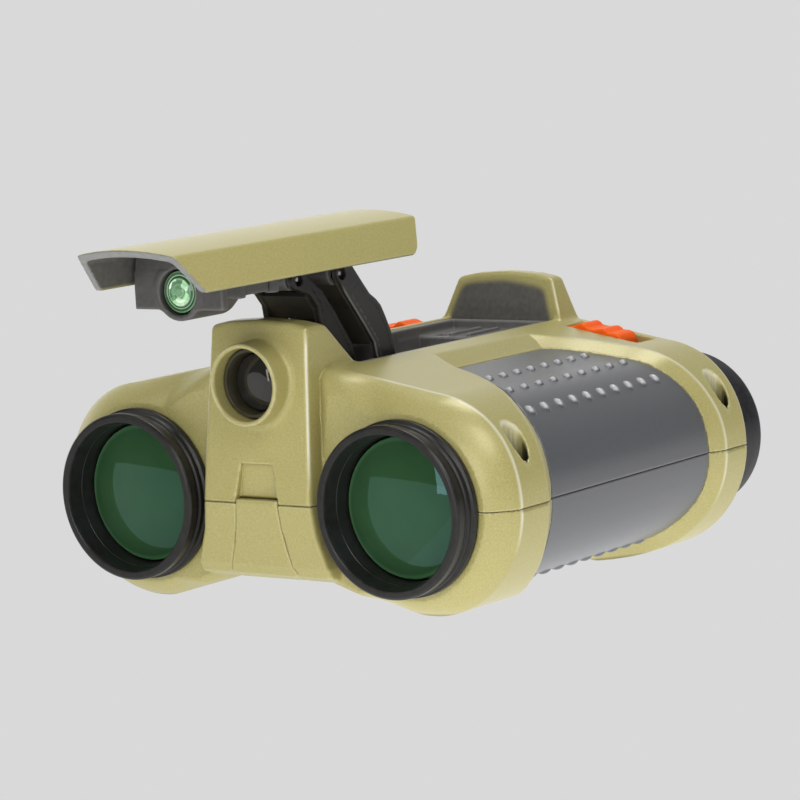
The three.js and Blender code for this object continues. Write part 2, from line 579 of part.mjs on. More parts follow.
// ---------------------------------------------------------------- screws, sliders, power
const screw = (x, y) =>
  cylZ(2.35, SEAT_Z + 0.3, SEAT_Z + 1.9, x, y, 18)
    .add(cylZ(1.05, -8.0, SEAT_Z + 0.6, x, y, 10))
    .subtract(box(x - 1.5, x + 1.5, y - 0.3, y + 0.3, SEAT_Z + 1.1, SEAT_Z + 3))
    .subtract(box(x - 0.3, x + 0.3, y - 1.5, y + 1.5, SEAT_Z + 1.1, SEAT_Z + 3));
const slider = (() => {
  const s0 = SLOT_X0 + 0.4, s1 = s0 + 14.2;
  const zs = (x) => RAIL_Z - SLOPE * (x - RAIL_X);
  const wave = [
    [0.0, -0.4], [1.6, 0.1], [3.2, 1.1], [4.0, 1.4], [4.8, 1.0], [5.5, 0.35], [6.6, 0.3], [8.7, 1.0], [9.6, 1.3], [10.3, 0.9], [10.9, 0.45], [11.7, 0.6],
    [12.4, 0.75], [13.3, 0.55], [14.2, -0.5],
  ].map(([d, h]) => [s0 + d, zs(s0 + d) + h]);
  const body = prismY([...wave, [s1, zs(s1) - 3.2], [s0, zs(s0) - 3.2]], SLOT_Y0 + 0.4, SLOT_Y1 - 0.4);
  const f0 = s0 - 1.6, f1 = s1 + 1.6;
  const foot = prismY(
    [[f0, zs(f0) - WALL - 0.45], [f1, zs(f1) - WALL - 0.45], [f1, zs(f1) - WALL - 1.7], [f0, zs(f0) - WALL - 1.7]],
    SLOT_Y0 - 1.0, SLOT_Y1 + 0.15,
  );
  return body.add(foot);
})();
const SLIDE_DIR = [1 / Math.hypot(1, SLOPE), 0, -SLOPE / Math.hypot(1, SLOPE)];
const cell = (i) => cylX(5.8, -2.7 + 5.7 * i, 2.7 + 5.7 * i, 12.0, -7.6, 28);
const contact = (s) => box(s > 0 ? 8.75 : -9.6, s > 0 ? 9.6 : -8.75, 6.6, 17.4, -12.6, -2.2);

// ---------------------------------------------------------------- named meshes
const root = new THREE.Group();
root.name = "toy_night_scope";
function node(name, m, color) {
  const moved = m.translate([0, SHIFT_Y, SHIFT_Z]);
  const g = moved.getMesh();
  const pos = new Float32Array(g.numVert * 3);
  for (let i = 0; i < g.numVert; i++) for (let k = 0; k < 3; k++) pos[i * 3 + k] = g.vertProperties[i * g.numProp + k];
  const geo = new THREE.BufferGeometry();
  geo.setAttribute("position", new THREE.BufferAttribute(pos, 3));
  geo.setIndex(new THREE.BufferAttribute(new Uint32Array(g.triVerts), 1));
  const mesh = new THREE.Mesh(geo, new THREE.MeshStandardMaterial({ color }));
  mesh.name = name;
  root.add(mesh);
}
const GOLD = 0xaaa264, GREY = 0x6a6c6e, DARK = 0x3c3c3e, BLACK = 0x1c1c1e, ORANGE = 0xff5f14, GREEN = 0x2f5a34, STEEL = 0xb8b8bc;
node("upper_shell", upperShell, GOLD);
node("lower_shell", lowerShell, GOLD);
node("battery_door", batteryDoor, GOLD);
node("tray", tray, DARK);
const gTop = grip(false), gLow = grip(true);
node("grip_upper_right", gTop, GREY);
node("grip_upper_left", mirrorX(gTop), GREY);
node("grip_lower_right", gLow, GREY);
node("grip_lower_left", mirrorX(gLow), GREY);
for (const [side, s] of [["right", 1], ["left", -1]]) {
  node("objective_ring_" + side, objectiveRing(s * BARREL_X), BLACK);
  node("objective_lens_" + side, objectiveLens(s * BARREL_X), GREEN);
  node("barrel_tube_" + side, barrelTube(s * BARREL_X), BLACK);
  node("eyecup_" + side, eyecup(s * BARREL_X), BLACK);
  node("eyepiece_lens_" + side, eyepieceLens(s * BARREL_X), GREEN);
  node("shell_screw_front_" + side, screw(s * WELL_X, WELL_Y[0]), STEEL);
  node("shell_screw_rear_" + side, screw(s * WELL_X, WELL_Y[1]), STEEL);
}
node("nose_tube", noseTube, BLACK);
node("nose_lens", noseLens, GREEN);
node("front_link", frontLink, DARK);
node("rear_link", rearLink, DARK);
node("tray_pin_front", pin(TRAY_FRONT_PIVOT, 13.4), STEEL);
// the rear link turns on two stub pins, so that the front link can fold down between them
node("tray_pin_rear_right", cylX(PIN_R, 8.0, 13.4, TRAY_REAR_PIVOT[0], TRAY_REAR_PIVOT[1], 12), STEEL);
node("tray_pin_rear_left", cylX(PIN_R, -13.4, -8.0, TRAY_REAR_PIVOT[0], TRAY_REAR_PIVOT[1], 12), STEEL);
node("lid_pin_front", pin(LID_FRONT_PIVOT, 7.0), STEEL);
node("lid_pin_rear", pin(LID_REAR_PIVOT, 9.1), STEEL);
node("lid_cover", lidCover, GOLD);
node("lid_frame", lidFrame, DARK);
node("lamp_reflector", reflector, STEEL);
node("lamp_lens", lampLens, GREEN);
node("lamp_led", led, 0xe8f4e8);
node("release_slider", slider, ORANGE);
node("lamp_switch_slider", mirrorX(slider.translate(SLIDE_DIR.map((v) => v * SLIDE_TRAVEL))), ORANGE);
node("battery_cell_right", cell(1), STEEL);
node("battery_cell_middle", cell(0), STEEL);
node("battery_cell_left", cell(-1), STEEL);
node("battery_contact_right", contact(1), STEEL);
node("battery_contact_left", contact(-1), STEEL);

export default root;
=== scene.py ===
import json
import math
import bpy
import numpy as np
from mathutils import Matrix


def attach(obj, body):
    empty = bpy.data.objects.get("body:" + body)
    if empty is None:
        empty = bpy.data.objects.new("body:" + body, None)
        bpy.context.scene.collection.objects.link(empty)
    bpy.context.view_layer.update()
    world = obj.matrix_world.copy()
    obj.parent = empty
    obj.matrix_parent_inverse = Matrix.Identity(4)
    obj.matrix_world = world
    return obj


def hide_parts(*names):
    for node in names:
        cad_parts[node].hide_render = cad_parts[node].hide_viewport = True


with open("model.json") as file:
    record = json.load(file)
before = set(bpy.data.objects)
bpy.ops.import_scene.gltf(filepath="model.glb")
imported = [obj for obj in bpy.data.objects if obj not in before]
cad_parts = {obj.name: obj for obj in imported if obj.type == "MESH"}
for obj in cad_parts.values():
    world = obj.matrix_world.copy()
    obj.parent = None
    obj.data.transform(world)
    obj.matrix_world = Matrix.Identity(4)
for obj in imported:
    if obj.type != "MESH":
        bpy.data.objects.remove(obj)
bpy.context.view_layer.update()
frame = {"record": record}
BODY_OF = {n: b for b, ns in frame["record"]["behaviour"]["bodies"].items() for n in ns}

# ------------------------------------------------------------------ dimensions (mm, design frame: y = 0 at the foot of the nose, z = 0 on the parting plane)
SHIFT = np.array([0.0, -39.9325, 23.4])
GAP = 0.3
SEAM = 0.042  # half the visible joint line between the shells
BODY_Y0, BODY_Y1 = 11.2, 100.7
XC, SIDE_A, TOP_B, LOW_B, TOP_N, LOW_N = 36.6, 23.0, 23.3, 23.4, 2.2, 1.9
RAIL_X, RAIL_Z, SLOPE, KNEE_X, FLOOR_Z, WALL = 14.1, 27.9, 0.183, 41.0, -16.4, 2.4
BARREL_X, BORE_R, EYE_BORE_R = 34.6, 16.4, 14.3
NOSE_FOOT_Y = 20.2
BEZEL_Z, BEZEL_R, BEZEL_HOLE_R = 25.3, 8.75, 7.6
HUMP_Y0 = 93.4
WELL_X, WELL_Y, WELL_R, SEAT_Z = 55.4, (15.8, 94.6), 2.75, 4.0
SLOT = (19.3, 38.2, 90.2, 97.8)
SLIDE_TRAVEL = 3.6
GRIP_DEPTH, GRIP_T = 2.0, 1.3
LINK_L, LEAN = 31.8, math.radians(126)
LID_FRONT, LID_REAR = (9.5, 46.2), (21.5, 46.2)
PIN_R = 1.0
LID_Y0, LID_Y1, LID_Z0, LAMP_Z = -37.1, 43.0, 48.0, 46.9
HINGE_Y, HINGE_Z, HINGE_R = 32.6, FLOOR_Z + 1.1, 1.1
UV = (math.cos(LEAN), math.sin(LEAN))
NV = (-math.sin(LEAN), math.cos(LEAN))
TRAY_FRONT = (LID_FRONT[0] - LINK_L * UV[0], LID_FRONT[1] - LINK_L * UV[1])
TRAY_REAR = (LID_REAR[0] - LINK_L * UV[0], LID_REAR[1] - LINK_L * UV[1])


# ------------------------------------------------------------------ distance fields
def smin(a, b, k):
    h = np.maximum(k - np.abs(a - b), 0.0) / k
    return np.minimum(a, b) - h * h * k * 0.25


def smax(a, b, k):
    return -smin(-a, -b, k)


def cut(a, b, k=0.35):
    return smax(a, -b, k)


def rbox(x, y, z, x0, x1, y0, y1, z0, z1, r=0.3):
    qx = np.abs(x - (x0 + x1) / 2) - ((x1 - x0) / 2 - r)
    qy = np.abs(y - (y0 + y1) / 2) - ((y1 - y0) / 2 - r)
    qz = np.abs(z - (z0 + z1) / 2) - ((z1 - z0) / 2 - r)
    far = np.sqrt(np.maximum(qx, 0) ** 2 + np.maximum(qy, 0) ** 2 + np.maximum(qz, 0) ** 2)
    return far + np.minimum(np.maximum(qx, np.maximum(qy, qz)), 0) - r


def rcyl(u, v, w, r, w0, w1, e=0.3):
    q = np.hypot(u, v) - (r - e)
    t = np.abs(w - (w0 + w1) / 2) - ((w1 - w0) / 2 - e)
    return np.hypot(np.maximum(q, 0), np.maximum(t, 0)) + np.minimum(np.maximum(q, t), 0) - e


def poly2(u, v, pts):
    """Signed distance to a closed outline, negative inside."""
    d = np.full(u.shape, 1e9)
    inside = np.zeros(u.shape, bool)
    n = len(pts)
    for i in range(n):
        ax, ay = pts[i]
        bx, by = pts[(i + 1) % n]
        ex, ey = bx - ax, by - ay
        wx, wy = u - ax, v - ay
        t = np.clip((wx * ex + wy * ey) / (ex * ex + ey * ey + 1e-12), 0, 1)
        d = np.minimum(d, (wx - ex * t) ** 2 + (wy - ey * t) ** 2)
        cond = (ay > v) != (by > v)
        if by != ay:
            inside ^= cond & (u < (bx - ax) * (v - ay) / (by - ay) + ax)
    d = np.sqrt(d)
    return np.where(inside, -d, d)


def slab(f2, w, w0, w1, e=0.3):
    """Outline f2 carried from w0 to w1 with rounded edges."""
    t = np.abs(w - (w0 + w1) / 2) - ((w1 - w0) / 2 - e)
    q = f2 + e
    return np.hypot(np.maximum(q, 0), np.maximum(t, 0)) + np.minimum(np.maximum(q, t), 0) - e


def round_path(pts, r, steps=5, closed=False):
    """Replaces the corners of a path with short arcs."""
    pts = [np.array(p, float) for p in pts]
    n = len(pts)
    out = []
    for i, p in enumerate(pts):
        if not closed and i in (0, n - 1):
            out.append(p)
            continue
        a, b = pts[i - 1], pts[(i + 1) % n]
        la, lb = np.linalg.norm(a - p), np.linalg.norm(b - p)
        d = min(r, 0.45 * la, 0.45 * lb)
        s, e = p + (a - p) / la * d, p + (b - p) / lb * d
        for k in range(steps + 1):
            t = k / steps
            out.append((1 - t) ** 2 * s + 2 * t * (1 - t) * p + t * t * e)
    return [tuple(p) for p in out]


def smooth_curve(xs, ys, n=400):
    """Monotone cubic through the given points, as a dense table."""
    xs, ys = np.array(xs, float), np.array(ys, float)
    h = np.diff(xs)
    d = np.diff(ys) / h
    m = np.zeros_like(xs)
    m[0], m[-1] = d[0], d[-1]
    for i in range(1, len(xs) - 1):
        if d[i - 1] * d[i] > 0:
            w1, w2 = 2 * h[i] + h[i - 1], h[i] + 2 * h[i - 1]
            m[i] = (w1 + w2) / (w1 / d[i - 1] + w2 / d[i])
    t = np.linspace(xs[0], xs[-1], n)
    i = np.clip(np.searchsorted(xs, t) - 1, 0, len(xs) - 2)
    u = (t - xs[i]) / h[i]
    y = (2 * u**3 - 3 * u**2 + 1) * ys[i] + (u**3 - 2 * u**2 + u) * h[i] * m[i] + (-2 * u**3 + 3 * u**2) * ys[i + 1] + (u**3 - u**2) * h[i] * m[i + 1]
    return t, y


# ---------------------------------------------------------------- body section: distance and arc length tables
def section_path():
    up = []
    t_end = math.acos(((KNEE_X - XC) / SIDE_A) ** (TOP_N / 2))
    for i in range(61):
        t = t_end * (60 - i) / 60
        up.append((XC + SIDE_A * math.cos(t) ** (2 / TOP_N), TOP_B * math.sin(t) ** (2 / TOP_N)))
    low = []
    for i in range(1, 61):
        t = math.pi / 2 * i / 60
        low.append((XC + SIDE_A * max(math.cos(t), 0) ** (2 / LOW_N), -LOW_B * math.sin(t) ** (2 / LOW_N)))
    top = [(0, RAIL_Z), (RAIL_X, RAIL_Z), (24.0, RAIL_Z - SLOPE * (24.0 - RAIL_X)), (34.0, RAIL_Z - SLOPE * (34.0 - RAIL_X)), (39.5, RAIL_Z - SLOPE * (39.5 - RAIL_X))]
    tail = round_path([low[-1], (33.4, -LOW_B), (29.5, -22.3), (8.6, FLOOR_Z), (0, FLOOR_Z)], 3.2)
    return top + up[1:] + low + tail[1:], len(top) + len(up) - 2


PATH, SIDE_I = section_path()
PATH = np.array(PATH)
ARC = np.concatenate([[0], np.cumsum(np.linalg.norm(np.diff(PATH, axis=0), axis=1))])
S_STEP = 0.4
SX = np.arange(-2.0, 66.0, S_STEP)
SZ = np.arange(-34.0, 44.0, S_STEP)


def section_tables():
    gx, gz = np.meshgrid(SX, SZ, indexing="ij")
    ax, az = np.abs(gx).ravel(), gz.ravel()
    best = np.full(ax.shape, 1e9)
    arc = np.zeros(ax.shape)
    inside = np.zeros(ax.shape, bool)
    loop = np.vstack([PATH, PATH[:1]])
    for i in range(len(PATH)):
        p, q = loop[i], loop[i + 1]
        e = q - p
        wx, wz = ax - p[0], az - p[1]
        if i < len(PATH) - 1:
            l2 = e @ e + 1e-12
            t = np.clip((wx * e[0] + wz * e[1]) / l2, 0, 1)
            d = (wx - e[0] * t) ** 2 + (wz - e[1] * t) ** 2
            m = d < best
            best = np.where(m, d, best)
            arc = np.where(m, ARC[i] + t * math.sqrt(l2), arc)
        if q[1] != p[1]:
            c = (p[1] > az) != (q[1] > az)
            inside ^= c & (ax < e[0] * (az - p[1]) / (q[1] - p[1]) + p[0])
    d = np.sqrt(best)
    return np.where(inside, -d, d).reshape(gx.shape), arc.reshape(gx.shape)


SD, SA = section_tables()


def look(table, x, z):
    u = np.clip((np.abs(x) - SX[0]) / S_STEP, 0, len(SX) - 1.001)
    v = np.clip((z - SZ[0]) / S_STEP, 0, len(SZ) - 1.001)
    i, j = u.astype(int), v.astype(int)
    fu, fv = u - i, v - j
    return (table[i, j] * (1 - fu) + table[i + 1, j] * fu) * (1 - fv) + (table[i, j + 1] * (1 - fu) + table[i + 1, j + 1] * fu) * fv


def arc_top(x):
    return np.interp(x, PATH[1:SIDE_I + 1, 0], ARC[1:SIDE_I + 1])


def arc_low(x):
    lo = PATH[SIDE_I:SIDE_I + 61]
    return np.interp(-np.asarray(x), -lo[:, 0], ARC[SIDE_I:SIDE_I + 61]) + max(XC - x, 0.0)


GRIP_TOP = [
    (19.4, 40.0, 75.0, 42.0, 71.0), (24.4, 36.6, 79.3, 40.5, 73.5), (29.0, 34.1, 82.1, 38.0, 77.6), (34.0, 32.6, 84.3, 36.3, 80.0),
    (39.0, 30.4, 85.6, 34.2, 81.6), (44.0, 27.1, 86.5, 31.0, 82.5), (48.0, 24.8, 86.9, 28.6, 83.2), (51.5, 23.1, 87.6, 27.0, 84.2),
    (54.5, 22.3, 88.4, 26.2, 85.3), (57.0, 21.6, 89.4, 25.5, 86.3), (58.8, 21.2, 90.6, 25.1, 87.0), (59.6, 21.0, 91.2, 24.9, 87.3),
]
GRIP_LOW = [
    (58.6, 21.3, 91.2, 25.2, 87.3), (56.6, 22.5, 91.0, 26.3, 87.0), (54.0, 24.0, 89.9, 27.8, 85.8), (50.5, 25.8, 88.7, 29.6, 84.5),
    (46.0, 29.2, 87.8, 33.0, 83.6), (41.5, 33.2, 84.7, 37.0, 80.5), (37.4, 37.0, 79.7, 40.8, 75.5), (34.0, 40.6, 75.4, 44.4, 71.2),
]
LOW_DEPTH = [2.05, 2.2, 2.4, 2.65, 2.9, 3.1, 3.2, 3.2]
G_S = np.array([float(arc_top(r[0])) for r in GRIP_TOP] + [float(arc_low(r[0])) for r in GRIP_LOW])
G_Y = [np.array([r[k] for r in GRIP_TOP + GRIP_LOW]) for k in range(1, 5)]
G_D = np.array([GRIP_DEPTH] * len(GRIP_TOP) + LOW_DEPTH)
S_TOP0, S_TOP1, S_END = G_S[0], G_S[1], G_S[-1]


def smooth_table(ys):
    t, y = smooth_curve(G_S, ys, 300)
    k = np.ones(9) / 9
    return t, np.convolve(np.pad(y, 4, mode="edge"), k, mode="valid")


G_TAB = [smooth_table(y) for y in G_Y]


def grip_edges(s):
    return [np.interp(s, t, y) for t, y in G_TAB]


def sunk(s):
    return np.interp(s, G_S, G_D)


def recess(s, y):
    """Depth of the grip recess below the gold face."""
    yfo, yro, yfi, yri = grip_edges(s)
    t = np.minimum((y - yfo) / (yfi - yfo), (yro - y) / (yro - yri))
    t = np.minimum(t, (s - S_TOP0) / (S_TOP1 - S_TOP0))
    t = np.minimum(t, (S_END + 8.0 - s) / 2.5)
    t = smax(smin(t, 1.0, 0.12), 0.0, 0.12)
    return sunk(s) * np.clip(t, 0, 1)


def pocket(x, y, z):
    """Room below the recess floor for the grip plates."""
    s = look(SA, x, z)
    _, _, yfi, yri = grip_edges(s)
    e = np.maximum(np.maximum(yfi - y, y - yri), np.maximum(S_TOP1 + 0.15 - s, s - (S_END + 0.3)))
    return np.maximum(e, -(look(SD, x, z) + sunk(s) + GRIP_T + GAP))


# front cap of the barrels
PHI = np.linspace(-math.pi, math.pi, 721)


def reach_table():
    out = []
    for p in PHI:
        dx, dz = math.cos(p), math.sin(p)
        e = PATH[1:] - PATH[:-1]
        det = dx * e[:, 1] - dz * e[:, 0]
        det = np.where(np.abs(det) < 1e-9, 1e-9, det)
        wx, wz = PATH[:-1, 0] - BARREL_X, PATH[:-1, 1]
        t = (wx * e[:, 1] - wz * e[:, 0]) / det
        s = (wx * dz - wz * dx) / det
        ok = (t > 0) & (s >= -1e-6) & (s <= 1 + 1e-6)
        best = t[ok].min() if ok.any() else 60.0
        if dx < 0:
            best = min(best, (BARREL_X - 12.5) / -dx)
        out.append(best)
    out = np.array(out)
    k = np.ones(9) / 9
    return np.convolve(np.pad(out, 4, mode="wrap"), k, mode="valid")


REACH = reach_table()
CAP_Y, CAP_F = smooth_curve([5.0, 5.4, 6.2, 7.2, 8.2, 9.2, 10.2, 10.75, 11.1, 11.3, 12.4, 13.2], [-0.06, 0.06, 0.285, 0.5, 0.675, 0.81, 0.915, 0.963, 0.992, 1.0, 1.0, 1.0])
CAP_D = np.gradient(CAP_F, CAP_Y)
# fuller outline of the cap beside the nose
CAP2_Y, CAP2_F = smooth_curve([4.2, 4.4, 4.8, 5.4, 6.2, 7.2, 9.0, 11.2, 13.2], [-0.15, 0.0, 0.3, 0.62, 0.8, 0.9, 0.98, 1.0, 1.0])
CAP2_D = np.gradient(CAP2_F, CAP2_Y)


def cheek(x, y, z):
    px = np.abs(x) - BARREL_X
    r = np.hypot(px, z)
    reach = np.interp(np.arctan2(z, px), PHI, REACH)
    w = np.clip((-px / np.maximum(r, 1e-6) - 0.3) / 0.32, 0, 1)
    w = w * w * (3 - 2 * w)
    f = np.interp(y, CAP_Y, CAP_F) * (1 - w) + np.interp(y, CAP2_Y, CAP2_F) * w
    d = np.interp(y, CAP_Y, CAP_D) * (1 - w) + np.interp(y, CAP2_Y, CAP2_D) * w
    R = 19.2 + (reach - 19.2) * f
    c = 1 / np.sqrt(1 + ((reach - 19.2) * d) ** 2)
    return np.maximum(np.maximum((r - R) * c, 5.4 - y), y - 12.9)


NZ = [-18.0, -16.5, -15.2, -13.0, -6.0, 0.0, 6.5, 27.9, 36.9, 39.0]
NW = [17.0, 17.1, 17.3, 17.2, 14.9, 14.2, 14.05, 13.05, 12.65, 12.5]
NF = [8.5, 4.8, 1.9, 0.75, 0.35, 0.0, 0.75, 3.2, 4.3, 4.55]


def nose(x, y, z):
    ax = np.abs(x)
    w = np.interp(z, NZ, NW)
    yf = np.interp(z, NZ, NF)
    yb = np.where(z > 0, np.interp(z, [0, 27.9, 36.9, 39], [NOSE_FOOT_Y, NOSE_FOOT_Y, 11.0, 8.85]), 14.0)
    zt = np.interp(ax, [0, 3.0, 8.2, 12.65, 16], [38.3, 38.15, 37.8, 36.9, 35.4])
    t = np.clip((10.4 - np.hypot(x, z - BEZEL_Z)) / 1.5, 0, 1)
    yf = yf - 0.3 * t * t * (3 - 2 * t)
    f = smax((yf - y) * np.where(z < -13, 0.75, 0.99), ax - w, 1.1)
    f = smax(f, (y - yb) * np.where(z > 27.9, 0.7, 1.0), 1.1)
    f = smax(f, z - zt, 1.1)
    return np.maximum(f, -16.5 - z)


def hump(x, y, z):
    ax = np.abs(x)
    w = np.interp(z, [24, 28, 36.8, 39], [16.4, 16.2, 12.95, 12.15])
    yf = np.interp(z, [24, 28, 36.8, 39], [HUMP_Y0, HUMP_Y0, 95.6, 96.15])
    yb = np.interp(z, [24, 28, 36.8, 39], [BODY_Y1, BODY_Y1, 100.0, 99.8])
    zt = np.interp(ax, [0, 3.0, 8.3, 12.95, 16], [38.2, 38.1, 37.7, 36.85, 35.7])
    f = smax((yf - y) * 0.97, (ax - w) * 0.94, 0.9)
    f = smax(f, y - yb, 1.0)
    f = smax(f, z - zt, 0.9)
    return np.maximum(f, 20 - z)


def outer(x, y, z, grips=True):
    d = look(SD, x, z)
    if grips:
        d = d + recess(look(SA, x, z), y)
    b = smax(d, y - BODY_Y1, 1.6)
    b = np.maximum(b, 12.0 - y)
    if grips:
        b = np.maximum(b, -pocket(x, y, z))
    f = np.minimum(b, cheek(x, y, z))
    f = smin(f, nose(x, y, z), 0.7)
    f = smin(f, hump(x, y, z), 1.0)
    return smin(f, rcyl(x, z - BEZEL_Z, y, BEZEL_R, -2.2, 8.0, 0.4), 0.7)


def inner(x, y, z):
    """Hollow of the two shells."""
    d = look(SD, x, z) + np.minimum(recess(look(SA, x, z), y) * 1.8, 3.9)
    f = smax(d + WALL, np.abs(y - 54.9) - 43.4, 0.8)
    f = np.minimum(f, rbox(x, y, z, -11.8, 11.8, 4.6, 22, -0.6, 27.3, 0.6))
    return np.minimum(f, rbox(x, y, z, -11.9, 11.9, 2.7, 22, -14.0, 0.6, 0.6))


def bosses(x, y, z):
    ax = np.abs(x)
    f = np.hypot(ax - WELL_X, y - WELL_Y[0]) - 4.1
    return np.minimum(f, np.hypot(ax - WELL_X, y - WELL_Y[1]) - 4.1)


def bores(x, y, z):
    ax = np.abs(x) - BARREL_X
    return np.minimum(rcyl(ax, z, y, BORE_R, 0, BODY_Y0 + 3, 0.3), rcyl(ax, z, y, EYE_BORE_R, 90, 110, 0.3))


DOOR = lambda c: [
    (-8.6 - 0.3 * c, -30), (8.6 + c, -30), (8.6 + c, -14.4), (8.2 + c, -13.5), (7.05 + c, -9.9), (5.95 + c, -4.9), (5.4 + c, 0.0), (5.4 + c, 0.9 + c),
    (-5.4 - 0.3 * c, 0.9 + c), (-5.4 - 0.3 * c, 0.0), (-5.95 - 0.3 * c, -4.9), (-7.05 - 0.3 * c, -9.9), (-8.2 - 0.3 * c, -13.5), (-8.6 - 0.3 * c, -14.4),
]
DOOR_GAP = 0.14


def f_upper(p):
    x, y, z = p
    ax = np.abs(x)
    f = outer(x, y, z)
    hollow = np.maximum(inner(x, y, z), -(bosses(x, y, z)))
    f = cut(f, hollow, 0.3)
    well = np.minimum(np.hypot(ax - WELL_X, y - WELL_Y[0]), np.hypot(ax - WELL_X, y - WELL_Y[1])) - 2.5
    f = cut(f, np.maximum(well, SEAT_Z - z), 0.6)
    f = cut(f, bores(x, y, z), 0.3)
    f = cut(f, rbox(ax, y, z, SLOT[0], SLOT[1], SLOT[2], SLOT[3], 12, 60, 0.4), 0.5)
    f = cut(f, rcyl(x, z - BEZEL_Z, y, BEZEL_HOLE_R, -6, 9.8, 0.2), 0.8)
    f = cut(f, rbox(x, y, z, -RAIL_X, RAIL_X, NOSE_FOOT_Y, HUMP_Y0, 12, 80, 0.3), 0.8)
    notch = slab(poly2(x, z, [(-5.6, 0.5), (5.6, 0.5), (4.1, 8.3), (-4.1, 8.3)]), y, -6, 1.7, 0.2)
    f = cut(f, notch, 0.3)
    f = cut(f, np.maximum(poly2(x, z, DOOR(DOOR_GAP)), y - 3.0), 0.25)
    return smax(f, SEAM - z, 0.2)


def f_lower(p):
    x, y, z = p
    f = outer(x, y, z)
    hollow = np.maximum(inner(x, y, z), -(bosses(x, y, z)))
    f = cut(f, hollow, 0.3)
    ax = np.abs(x)
    wall = np.maximum(rbox(ax, y, z, 9.95, 11.4, 4.5, 33, -15.6, -1.0, 0.2), outer(x, y, z, False) + 0.5)
    f = np.minimum(f, wall)
    hole = np.minimum(np.hypot(ax - WELL_X, y - WELL_Y[0]), np.hypot(ax - WELL_X, y - WELL_Y[1])) - 1.4
    f = cut(f, np.maximum(hole, -8.6 - z), 0.2)
    f = cut(f, bores(x, y, z), 0.3)
    skin = np.maximum(np.maximum(poly2(x, z, DOOR(DOOR_GAP)), y - (HINGE_Y + HINGE_R + GAP)), -rbox(x, y, z, -20, 20, 2.7, 60, -14.0, 6, 0.1))
    f = cut(f, skin, 0.25)
    f = cut(f, rcyl(y - HINGE_Y, z - HINGE_Z, x, HINGE_R + GAP, -8.9, 8.9, 0.1), 0.2)
    return smax(f, z + SEAM, 0.2)


def f_door(p):
    x, y, z = p
    f = smax(outer(x, y, z, False), slab(poly2(x, z, DOOR(0)), y, -10, HINGE_Y, 0.1), 0.35)
    f = smax(f, z - 0.9, 0.35)
    f = cut(f, rbox(x, y, z, -20, 20, 2.3, 80, -14.5, 30, 0.8), 0.4)
    # stiffening ribs on the inside of the floor plate
    for rx in (-5.4, 0.0, 5.4):
        f = smin(f, rbox(x, y, z, rx - 0.45, rx + 0.45, 3.0, 29.5, -15.2, -13.95, 0.2), 0.3)
    return np.minimum(f, rcyl(y - HINGE_Y, z - HINGE_Z, x, HINGE_R, -8.6, 8.6, 0.25))


# bumps of the grips: rows along y at an arc position, each with its list of y
def arc_at(x, z):
    return float(look(SA, np.array([x]), np.array([z]))[0])


BUMPS = []
for bx, bz, y0, n in ((34.1, 22.2, 38.5, 8), (42.6, 20.65, 33.6, 9), (50.0, 17.2, 30.0, 10)):
    last = {8: 75.3, 9: 77.5, 10: 78.5}[n]
    BUMPS.append((arc_at(bx, bz), np.linspace(y0, last, n)))
BUMPS_LOW = []
for bx, y0, y1, n in ((44.2, 36.9, 79.6, 9), (38.6, 44.0, 71.0, 6)):
    zz = -LOW_B * (1 - ((bx - XC) / SIDE_A) ** LOW_N) ** (1 / LOW_N)
    BUMPS_LOW.append((arc_at(bx, zz), np.linspace(y0, y1, n)))


def bump_height(s, y, low):
    h = np.zeros_like(y)
    for s0, ys in BUMPS_LOW if low else BUMPS:
        pitch = ys[1] - ys[0]
        k = np.clip(np.round((y - ys[0]) / pitch), 0, len(ys) - 1)
        q = ((y - ys[0] - k * pitch) / (1.5 if low else 1.0)) ** 2 + ((s - s0) / (1.7 if len(ys) == 10 or low else 1.1)) ** 2
        h = np.maximum(h, (0.6 if low else 0.8) * np.clip(1 - q, 0, 1) ** 0.75)
    return h


def bump_highlight(p, N, low):
    """Upper front sides of the bumps, where a painted highlight lightens the grey."""
    x, y, z = p
    h = bump_height(look(SA, x, z), y, low)
    return np.clip(h / 0.3, 0, 1) * np.clip((-N[:, 1] - 0.12) / 0.22, 0, 1) * np.clip((N[:, 2] - 0.2) / 0.25, 0, 1)


def f_grip(p, low):
    x, y, z = p
    d = look(SD, x, z)
    s = look(SA, x, z)
    _, _, yfi, yri = grip_edges(s)
    h = bump_height(s, y, low)
    region = np.maximum(yfi + GAP - y, y - (yri - GAP))
    if low:
        region = np.maximum(region, s - (S_END - 0.4))
        region = np.maximum(region, z + SEAM)
    else:
        region = np.maximum(region, S_TOP1 + 0.45 - s)
        region = np.maximum(region, SEAM - z)
    sink = sunk(s)
    f = smax(d + sink - h, region, 0.3)
    return smax(f, -(d + sink + GRIP_T), 0.3)


